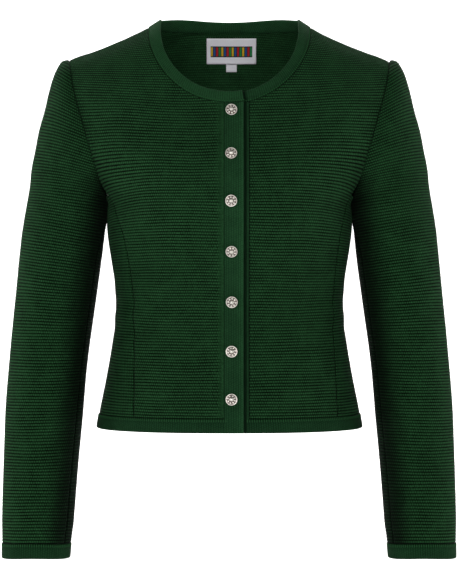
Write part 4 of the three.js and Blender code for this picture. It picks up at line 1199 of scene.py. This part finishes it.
def linking_yarn():
    """Smoother than the cloth's yarn and a shade lighter."""
    material, tree, shader = new_material("linking_yarn", MATT_WOOL)
    place = add_node(tree, "ShaderNodeTexCoord").outputs["Object"]
    fibre = add_node(tree, "ShaderNodeTexNoise", {"Vector": place}, Scale=1500.0, Detail=3.0)
    ramp = add_node(tree, "ShaderNodeValToRGB", [fibre], stops=((0.0, "#143a1b"), (1.0, "#2a5532")))
    tree.links.new(ramp.outputs[0], shader.inputs["Base Color"])
    return material


LINKING, LINKING_YARN = linking_tree(), linking_yarn()
FACES_IN_A_STITCH = 40


def linking(band, place_at, closed, mirror, across, length):
    """Lays the stitches of one band along its seam, each of them 2.8 mm from the next."""
    point, normal = place_at(across)
    down = place_at(across + 0.5)[0] - place_at(across - 0.5)[0]
    point = point + normal * (BAND_PROUD - 0.1)
    point, normal, down = ((v * (mirror, 1, 1))[::2] for v in (point, normal, down))
    edges = [(k, k + 1) for k in range(len(point) - 1)]
    if closed:
        edges.append((len(point) - 1, 0))
    mesh = bpy.data.meshes.new("stitches")
    mesh.from_pydata((point * MM).tolist(), edges, [])
    add_values(mesh, {"out": normal, "down": down})
    piece = new_object(band.replace("band", "stitches"), mesh)
    run_tree(piece, LINKING, {"Stitch length": length, "Material": LINKING_YARN})
    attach(piece, "root")
    print(f"{piece.name}: {len(piece.data.polygons) // FACES_IN_A_STITCH} stitches")
    return piece


# %% [markdown]
# The hem band goes from the right front edge round the back to the left one. The cuffs are the
# same band closed into a ring.

# %% Hem band and cuffs
END_HIDDEN = 2.2  # each end runs on a little inside the front band, so that no gap shows


def make_hem():
    ends = {}
    for side, edge in PANEL_EDGE.items():
        ends[side] = float(flat_of([edge - END_HIDDEN], [HEM_TOP], "front")[0][0])
    parts = (  # face, side where the fronts overlap, first and last girth
        ("front", "right", -ends["right"], -1),
        ("back", None, -1, 1),
        ("front", "left", 1, ends["left"]),
    )
    rulers = []
    for face, _, first, last in parts:
        girth = np.linspace(first, last, 400)
        rulers.append((girth, lengths_along(Course(HEM_TOP, face, level=True).points(girth))))
    joints = np.cumsum([0] + [ruler[-1] for _, ruler in rulers])
    along = spread(joints[-1])
    part = np.searchsorted(joints[1:-1], along, side="right")
    girths = []
    for k, (girth, ruler) in enumerate(rulers):
        girths.append(np.interp(along[part == k] - joints[k], ruler, girth))

    def place_at(v):
        points, normals = [], []
        for (face, side, _, _), girth in zip(parts, girths):
            point = Course(HEM_TOP - v, face, level=True).points(girth)
            normal = body_normal(point, face)
            if side:
                point = point + normal * lift_of(point[:, 0], side)[:, None]
            points.append(point)
            normals.append(normal)
        return np.concatenate(points), np.concatenate(normals)

    width = HEM_TOP - HEM_BOTTOM
    flat = (float(joints[-1]) * MM, width * MM)
    make_band(
        "band_hem", "hem_band", band_section(width), place_at, along, flat,
        stitches=EDGE_STITCHES, dark=EDGE_DARK,
    )


make_hem()


def make_cuff(side):
    fine = np.linspace(0, 2 * math.pi, 600)
    ruler = lengths_along(sleeve_point(fine, np.full_like(fine, SLEEVE_LENGTH - CUFF_BAND / 2)))
    along = spread(ruler[-1], closed=True)
    angle = np.interp(along, ruler, fine)

    def place_at(v):
        length = np.full_like(angle, SLEEVE_LENGTH - CUFF_BAND + v)
        normal = sleeve_normal(angle, np.minimum(length, SLEEVE_LENGTH - 1))
        return sleeve_point(angle, length) + hang(angle, length, side), normal

    flat = (float(ruler[-1]) * MM, CUFF_BAND * MM)
    make_band(
        "band_cuff_" + side, "cuff_" + side, band_section(CUFF_BAND), place_at, along, flat,
        closed=True, mirror=SIDE_SIGN[side], stitches=EDGE_STITCHES, dark=EDGE_DARK,
    )


for side in SIDE_SIGN:
    make_cuff(side)

# %% [markdown]
# The neckband stands up from the neckline and leans in over the collarbones. It starts at the
# upper front edge on the wearer's right side, and ends under it.

# %% Neckband
LEAN = {"front": 0.5, "shoulder": 0.84, "back": 0.72}
# Painted light: the neckband is painted lighter all along. Painted shade: its end under the upper front
# band, and the strip of the lower front band beside that band's edge, are painted nearly black.
NECK_DARK, UNDER_DARK = -0.4, 0.95  # the neckband catches more light, except where it is covered
UNDER_EDGE = -1.5 * math.pi  # past this angle the band lies on the wearer's left front


def neck_edge(angle):
    """Places on the neckline: angle 0 is the front, and it falls towards the wearer's right."""
    x, front = NECK["half"] * np.sin(angle), np.cos(angle) >= 0
    z = np.where(front, -NECK["drop"] * np.cos(angle), NECK["rise"] * np.cos(angle) ** 2)
    y = np.where(front, depth_at(x, z, "front"), depth_at(x, z, "back"))
    return np.stack([x, y, z], -1)


def make_neckband():
    cover = PLACKET["right"][1]
    fine = np.linspace(math.asin(cover / NECK["half"]), -2 * math.pi, 1500)
    ruler = lengths_along(neck_edge(fine))
    along = spread(ruler[-1])
    angle = np.interp(along, ruler, fine)
    foot = neck_edge(angle)
    tangent = unit(neck_edge(angle + 0.01) - neck_edge(angle - 0.01))
    front, away = np.cos(angle) >= 0, np.abs(np.sin(angle))
    lean = np.where(front, LEAN["front"], LEAN["back"])
    lean = lean + (LEAN["shoulder"] - lean) * away ** np.where(front, 2, 8)
    inward = unit(np.stack([-foot[:, 0], -15 - foot[:, 1], np.zeros(len(foot))], -1))
    rise = inward * lean[:, None] + np.array([0, 0, 1]) * np.sqrt(1 - lean**2)[:, None]
    body = np.where(front[:, None], body_normal(foot, "front"), body_normal(foot, "back"))
    normal = unit(np.cross(rise, tangent))
    normal = normal * np.sign(np.einsum("ij,ij->i", normal, body))[:, None]
    lift = np.where(angle > -math.pi / 2, lift_of(foot[:, 0], "right"), 0)
    lift = np.where(angle < UNDER_EDGE, lift_of(foot[:, 0], "left"), lift)
    foot = foot + body * lift[:, None]
    tall = np.where(front, 0.92 + 0.09 * away**8, 0.93 + 0.8 * away**2 - 0.72 * away**4)

    def place_at(v):
        share = smooth(v, 0, 6)
        return foot + rise * (v * tall)[:, None], unit(body * (1 - share) + normal * share)

    # painted shade where the upper front band covers the neckband's end
    covered = UNDER_DARK * (1 - smooth(foot[:, 0], cover + 1, cover + 7))
    flat = (float(ruler[-1]) * MM, NECK["band"] * MM)
    make_band(
        "band_neck", "neckband", band_section(NECK["band"]), place_at, along, flat,
        stitches=NECK_STITCHES, dark=np.where(angle < UNDER_EDGE, covered, NECK_DARK),
    )


make_neckband()

# %% [markdown]
# The two front bands run up the front edges. The upper one, on the wearer's right, folds at the
# edge that shows, and its inner edge blends into the front, so it hardly dips there.

# %% Front bands
def make_placket(side):
    low, high = PLACKET[side]
    width, length = high - low, -NECK["drop"] - HEM_BOTTOM + 1
    along = spread(length)

    def place_at(v):
        x = low + v if side == "right" else high - v
        z = HEM_BOTTOM + (neck_height(x) - HEM_BOTTOM) * along / along[-1]
        point, normal = body_place(np.full_like(z, x), z)
        return point + normal * LIFT[side], normal

    section = band_section(width, seam_dip=0.1)
    if side == "right":
        # knitted on with the front, so there is no seam to dip into; the fold is painted lighter, as a
        # painted highlight
        section[0] = (SEAM_REACH, 0.0)
        dark = 0.14 - 0.36 * smooth(section[:, :1], width - 6, width - 2)
    else:
        # only a strip of it shows, painted nearly black as painted shadow between the two edges
        dark = UNDER_DARK * smooth(section[:, :1], 0.5, 4.0)
    make_band(
        "band_front_" + side, "placket_" + side, section, place_at, along,
        (width * MM, length * MM), upright=True, dark=dark,
    )


for side in SIDE_SIGN:
    make_placket(side)

# %% [markdown]
# ## Buttons
# Seven cast buttons in antique silver close the front: a domed disc with a rolled rim, eight
# round petals and a boss. Silver on the high parts is polished bright by wear, and the low
# parts keep a dark, reddish patina. The disc is a turned profile, and a node tree sets the
# petals and the beads of the rim round it. Each button was sewn on at its own angle.

# %% The disc and its ornament
BUTTON_X, BUTTON_CLEAR = 2.3, 0.5
BUTTON_HEIGHTS = [-109.5, -162, -217, -275, -333.5, -391.5, -447.5]
BUTTON_TURNS = [10, 33, 4, 21, 38, 15, 28]
BUTTON_SHIFTS = [(-0.1, -1.2), (-0.4, -0.6), (-0.4, 1.0), (0, 1.6), (0.3, 0.7), (0.1, -0.6), (0, 0)]
SHANK = [(0, -3.2), (1.5, -3.2), (1.5, 0.0)]
RIM = [(5.6, 0.35), (6.55, 0.7), (6.95, 1.25), (6.95, 1.75), (6.65, 2.15), (6.2, 2.2), (5.8, 1.95)]
DISH = [(5.3, 2.0), (4.6, 2.5), (3.6, 2.95), (2.8, 3.1)]
BOSS = [(2.65, 3.3), (2.55, 3.85), (2.2, 4.5), (1.5, 5.1), (0.7, 5.4), (0, 5.45)]


def turned_mesh(name, profile, segments):
    """A closed solid turned from a profile that starts and ends on the axis."""
    build = bmesh.new()
    rings = []
    for radius, height in profile:
        if radius == 0:
            rings.append([build.verts.new((0, 0, height * MM))])
            continue
        turn = np.linspace(0, 2 * math.pi, segments, endpoint=False)
        circle = [(radius * math.cos(a), radius * math.sin(a), height) for a in turn]
        rings.append([build.verts.new(Vector(place) * MM) for place in circle])
    for low, high in zip(rings, rings[1:]):
        for k in range(segments):
            n = (k + 1) % segments
            corners = [low[k % len(low)], low[n % len(low)], high[n % len(high)], high[k % len(high)]]
            build.faces.new(list(dict.fromkeys(corners)))
    bmesh.ops.recalc_face_normals(build, faces=build.faces)
    mesh = bpy.data.meshes.new(name)
    build.to_mesh(mesh)
    build.free()
    mesh.shade_smooth()
    return mesh


def rosette_tree():
    sizes = {
        "Petals": 8, "Petal reach": 3.8, "Petal height": 2.65, "Beads": 26, "Bead reach": 6.45,
        "Bead height": 2.0, "Bead size": 0.78,
    }
    tree, given = new_geometry_tree("rosette", sizes)
    bead = dict.fromkeys("XYZ", given.outputs["Bead size"])
    joined = add_node(tree, "GeometryNodeJoinGeometry", [given])
    for name, scale in (("Petal", {"X": 3.7, "Y": 3.0, "Z": 2.3}), ("Bead", bead)):
        v = {"Vertices": given.outputs[name + "s"]}
        for key, size in (("Radius", "reach"), ("Z", "height")):
            size = [given.outputs[f"{name} {size}"], MM]
            v[key] = add_node(tree, "ShaderNodeMath", size, operation="MULTIPLY")
        high = add_node(tree, "ShaderNodeCombineXYZ", {"Z": v.pop("Z")})
        circle = add_node(tree, "GeometryNodeMeshCircle", v)
        circle = add_node(tree, "GeometryNodeSetPosition", {0: circle, "Offset": high})
        place = add_node(tree, "GeometryNodeInputPosition")
        turn = add_node(tree, "ShaderNodeVectorMath", [place, (1, 1, 0)], operation="MULTIPLY")
        turn = {"Vector": turn}
        turn = add_node(tree, "FunctionNodeAlignRotationToVector", turn, axis="X", pivot_axis="Z")
        ball = add_node(tree, "GeometryNodeMeshUVSphere", Segments=12, Rings=7, Radius=0.5 * MM)
        ball = add_node(tree, "GeometryNodeSetShadeSmooth", [ball])
        scale = add_node(tree, "ShaderNodeCombineXYZ", scale)
        laid = {"Points": circle, "Instance": ball, "Rotation": turn, "Scale": scale}
        laid = add_node(tree, "GeometryNodeInstanceOnPoints", laid)
        tree.links.new(laid.outputs[0], joined.inputs[0])
    close_tree(tree, given, joined)
    return tree


ROSETTE = rosette_tree()
print("nodes that set petals and beads:", len(ROSETTE.nodes))

# %% Antique silver
def antique_silver():
    """Bright on the worn relief, with a dark patina in the hollows."""
    material, tree, shader = new_material("antique_silver_casting", {"Metallic": 1.0})
    worn = add_node(tree, "ShaderNodeAttribute", attribute_name="worn").outputs["Fac"]
    place = add_node(tree, "ShaderNodeTexCoord").outputs["Object"]
    stain = add_node(tree, "ShaderNodeTexNoise", {"Vector": place}, Scale=600.0, Detail=3.0)
    blotch = add_node(tree, "ShaderNodeMath", [stain, 0.5], operation="SUBTRACT")
    bright = add_node(tree, "ShaderNodeMath", [blotch, 0.9, worn], operation="MULTIPLY_ADD")
    stops = ((0.05, "#4a2a26"), (0.75, "#e0dbd2"))
    bright = add_node(tree, "ShaderNodeValToRGB", [bright], stops=stops)
    dull = add_node(tree, "ShaderNodeMapRange", {"Value": worn, "To Min": 0.6, "To Max": 0.3})
    skin = add_node(tree, "ShaderNodeBump", {"Height": stain}, Strength=0.3, Distance=0.15 * MM)
    for node, socket in ((bright, "Base Color"), (dull, "Roughness"), (skin, "Normal")):
        tree.links.new(node.outputs[0], shader.inputs[socket])
    return material


SILVER = antique_silver()
WORN_FROM = [  # distance from the middle, height of the ground there; in mm
    (0, 3.7), (2.7, 3.7), (3.6, 3.4), (4.6, 2.95), (5.5, 2.4), (6.1, 2.25), (7.4, 2.25),
]

# %% [markdown]
# The band's surface gives each button its place and tilt. The frame's solid is hidden, and the
# casting is what shows. The frame's solid keeps its place in the physics, and the casting is
# what shows.

# %% Seven buttons
def make_button(number, z, turn, shift):
    profile = [(r, h + BUTTON_CLEAR) for r, h in SHANK + RIM + DISH + BOSS]
    piece = new_object(f"cast_button_{number}", turned_mesh("casting", profile, 32))
    run_tree(piece, ROSETTE, {"Material": SILVER})
    mesh = piece.data
    local = np.empty(len(mesh.vertices) * 3)
    mesh.vertices.foreach_get("co", local)
    x, y, high = local.reshape(-1, 3).T / MM
    ground = np.interp(np.hypot(x, y), *zip(*WORN_FROM))
    add_values(mesh, {"worn": smooth(high - ground, -0.15, 0.6)})
    point, normal = body_place(np.array([BUTTON_X + shift[0]]), np.array([z + shift[1]]))
    point, normal = point[0] + normal[0] * (LIFT["right"] + BAND_PROUD), Vector(normal[0])
    tilt = Vector((0, 0, 1)).rotation_difference(normal).to_matrix().to_4x4()
    turned = Matrix.Rotation(math.radians(turn), 4, "Z")
    mesh.transform(Matrix.Translation(Vector(point) * MM) @ tilt @ turned)
    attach(piece, "root")
    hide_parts(f"button_{number}")
    print(f"{piece.name}: {len(mesh.polygons)} faces")


for k, place in enumerate(zip(BUTTON_HEIGHTS, BUTTON_TURNS, BUTTON_SHIFTS)):
    make_button(k + 1, *place)

# %% [markdown]
# ## Label and size tab
# Inside the back hangs a label of woven polyester satin with a plain braid of coloured bars
# across it, and under it a bare tab. Both are thin folded strips: their edges are doubled over,
# so they are a little thicker there. The bars are drawn from the label's own coordinates.

# %% Woven satin
BRAID = {"half": 26.5, "bar": 3.3125, "middle": 15.5, "tall": 6.5, "border": 1.2}  # in mm


def satin():
    """White, smooth and finely woven, with the bars of the braid."""
    values = {"Roughness": 0.55, "Specular IOR Level": 0.3}
    material, tree, shader = new_material("woven_polyester_satin", values)
    v = {}
    for key in ("label_u", "label_v"):
        v[key] = add_node(tree, "ShaderNodeAttribute", attribute_name=key).outputs["Fac"]
    for key, operation, *terms in (
        ("bars", "ADD", "label_u", BRAID["half"]),
        ("bars", "DIVIDE", "bars", BRAID["bar"]),
        ("quarter", "FLOOR", "bars"),
        ("quarter", "DIVIDE", "quarter", 4.0),
        ("quarter", "FRACT", "quarter"),
        ("quarter", "ADD", "quarter", 0.05),
        # where the bars show, between dark threads and inside a dark border
        ("thread", "FRACT", "bars"),
        ("thread", "COMPARE", "thread", 0.5, 0.37),
        ("high", "COMPARE", "label_v", BRAID["middle"], BRAID["tall"] - BRAID["border"]),
        ("thread", "MULTIPLY", "thread", "high"),
        # where the braid lies
        ("high", "COMPARE", "label_v", BRAID["middle"], BRAID["tall"]),
        ("wide", "COMPARE", "label_u", 0.0, BRAID["half"]),
        ("braid", "MULTIPLY", "high", "wide"),
        # threads 0.25 mm apart would not show, so they are drawn 1 mm apart
        ("picks", "MULTIPLY", "label_v", 2 * math.pi),
        ("picks", "SINE", "picks"),
        ("ends", "MULTIPLY", "label_u", 2 * math.pi),
        ("ends", "SINE", "ends"),
        ("threads", "MULTIPLY", "picks", "ends"),
    ):
        v[key] = add_node(tree, "ShaderNodeMath", [v.get(t, t) for t in terms], operation=operation)
    stops = tuple(zip((0, 0.25, 0.5, 0.75), ("#c8a21f", "#174a8a", "#b0101c", "#187a44")))
    bars = add_node(tree, "ShaderNodeValToRGB", [v["quarter"]], stops=stops)
    bars.color_ramp.interpolation = "CONSTANT"
    place = add_node(tree, "ShaderNodeCombineXYZ", [v["label_u"], v["label_v"]])
    weave = add_node(tree, "ShaderNodeTexNoise", {"Vector": place}, Scale=1.4, Detail=2.0)
    inside = {0: v["thread"], 6: linear("#0e1216"), 7: bars}
    inside = add_node(tree, "ShaderNodeMix", inside, data_type="RGBA")
    ground = {0: weave, 6: linear("#dad8e0"), 7: linear("#f1eff5")}
    ground = add_node(tree, "ShaderNodeMix", ground, data_type="RGBA")
    colour = {0: v["braid"], 6: ground.outputs[2], 7: inside.outputs[2]}
    colour = add_node(tree, "ShaderNodeMix", colour, data_type="RGBA")
    tree.links.new(colour.outputs[2], shader.inputs["Base Color"])
    relief = {"Height": v["threads"]}
    relief = add_node(tree, "ShaderNodeBump", relief, Strength=0.3, Distance=0.1 * MM)
    tree.links.new(relief.outputs[0], shader.inputs["Normal"])
    return material


SATIN = satin()

# %% Label and tab
LABELS = [  # name, solid, width, top, height, gap behind, wall, curl in mm, and whether it is bare
    ("woven_label", "neck_label", 63, -3, 30.5, 3.7, 0.8, 0.7, False),
    ("woven_tab", "size_tab", 13.5, -26, 17.5, 2.9, 0.5, 0.2, True),
]
LABEL_MIDDLE, THREAD_STEP = 2.5, 1.5
OFF_THE_BRAID = -5.0  # a place across the label where no braid is drawn


def make_label(name, replaced, width, top, height, gap, wall, curl, bare):
    """A strip inside the back, doubled over at its edges, whose lower edge curls out a little."""
    columns, rows = max(14, round(width / THREAD_STEP)), max(10, round(height / THREAD_STEP))
    u, v = np.meshgrid(np.linspace(-width / 2, width / 2, columns), np.linspace(0, height, rows))
    edge = np.minimum(width / 2 - np.abs(u), np.minimum(v, height - v))
    thick = wall * (0.35 + 0.65 * smooth(edge, 0, 0.8)) * (1.25 - 0.25 * smooth(edge, 2.0, 3.0))
    point, normal = body_place(LABEL_MIDDLE + u, top - v, "back")
    away = gap + curl * (v / height) ** 2 + 0.25 * np.sin(u / 9.0 + 0.6) * (v / height)
    face = point - normal * (away + wall / 2 + thick / 2)[..., None]
    behind = point - normal * (away + wall / 2 - thick / 2)[..., None]
    points = np.concatenate([face.reshape(-1, 3), behind.reshape(-1, 3)])
    label_v = np.full_like(v, OFF_THE_BRAID) if bare else v
    values = {"label_u": np.tile(u.ravel(), 2), "label_v": np.tile(label_v.ravel(), 2)}
    piece = mesh_piece(name, points, shell_faces(*u.shape), values)
    piece.data.materials.append(SATIN)
    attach(piece, "root")
    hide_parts(replaced)
    print(name, "is", width, "by", height, "mm")


for strip in LABELS:
    make_label(*strip)

# %% [markdown]
# ## Stage and light
# A pale cove with big soft lights stands in for a photographer's white paper. The world adds
# even light from all round, so that no shadow on the dark cloth goes quite black.

# %% Paper, lights and world
FLOOR_Z, WALL_Y, COVE_RADIUS, COVE_STEPS = -0.85, 4.4, 0.9, 12
MIDDLE = (0, 0, -0.3)
LIGHTS = [  # name, place, aim and size in metres, power in watts
    ("front_key", (-1.2, -2.6, 0.75), MIDDLE, 1.0, 21),
    ("front_fill", (1.3, -2.6, 0.5), MIDDLE, 1.0, 10),
    ("front_low", (0, -3.0, 0.05), MIDDLE, 1.0, 19),
    ("left_rim", (-2.3, 0.5, 0.3), MIDDLE, 1.2, 30),
    ("right_rim", (2.3, 0.5, 0.3), MIDDLE, 1.2, 26),
    ("paper_light", (0, 2.7, 2.8), (0, 4.2, -0.6), 2.8, 240),
]


def make_stage():
    """A sheet of paper that lies on the floor and curves up into a wall."""
    profile = [(-9.0, FLOOR_Z), (WALL_Y - COVE_RADIUS, FLOOR_Z)]
    for k in range(1, COVE_STEPS + 1):
        a = math.radians(90 * k / COVE_STEPS)
        out, up = COVE_RADIUS * math.sin(a), COVE_RADIUS * (1 - math.cos(a))
        profile.append((WALL_Y - COVE_RADIUS + out, FLOOR_Z + up))
    profile.append((WALL_Y, 6.0))
    points = [(x, y, z) for y, z in profile for x in (-7.0, 7.0)]
    faces = [(k, k + 1, k + 3, k + 2) for k in range(0, len(points) - 2, 2)]
    mesh = bpy.data.meshes.new("paper")
    mesh.from_pydata(points, [], faces)
    mesh.shade_smooth()
    values = {"Base Color": linear("#fbfbfb"), "Roughness": 0.9}
    mesh.materials.append(new_material("white_paper", values)[0])
    new_object("paper", mesh)


def soft_light(name, place, aim, size, power):
    """A round soft light that looks at a place."""
    data = bpy.data.lights.new(name, "AREA")
    data.shape, data.size, data.energy = "DISK", size, power
    lamp = new_object(name, data)
    lamp.location = place
    lamp.rotation_euler = (Vector(aim) - Vector(place)).to_track_quat("-Z", "Y").to_euler()


make_stage()
for light in LIGHTS:
    soft_light(*light)
scene.world = bpy.data.worlds.new("studio")
scene.world.use_nodes = True
background = scene.world.node_tree.nodes["Background"]
background.inputs["Color"].default_value = linear("#ffffff")
background.inputs["Strength"].default_value = 0.1
print("lights:", len(LIGHTS))
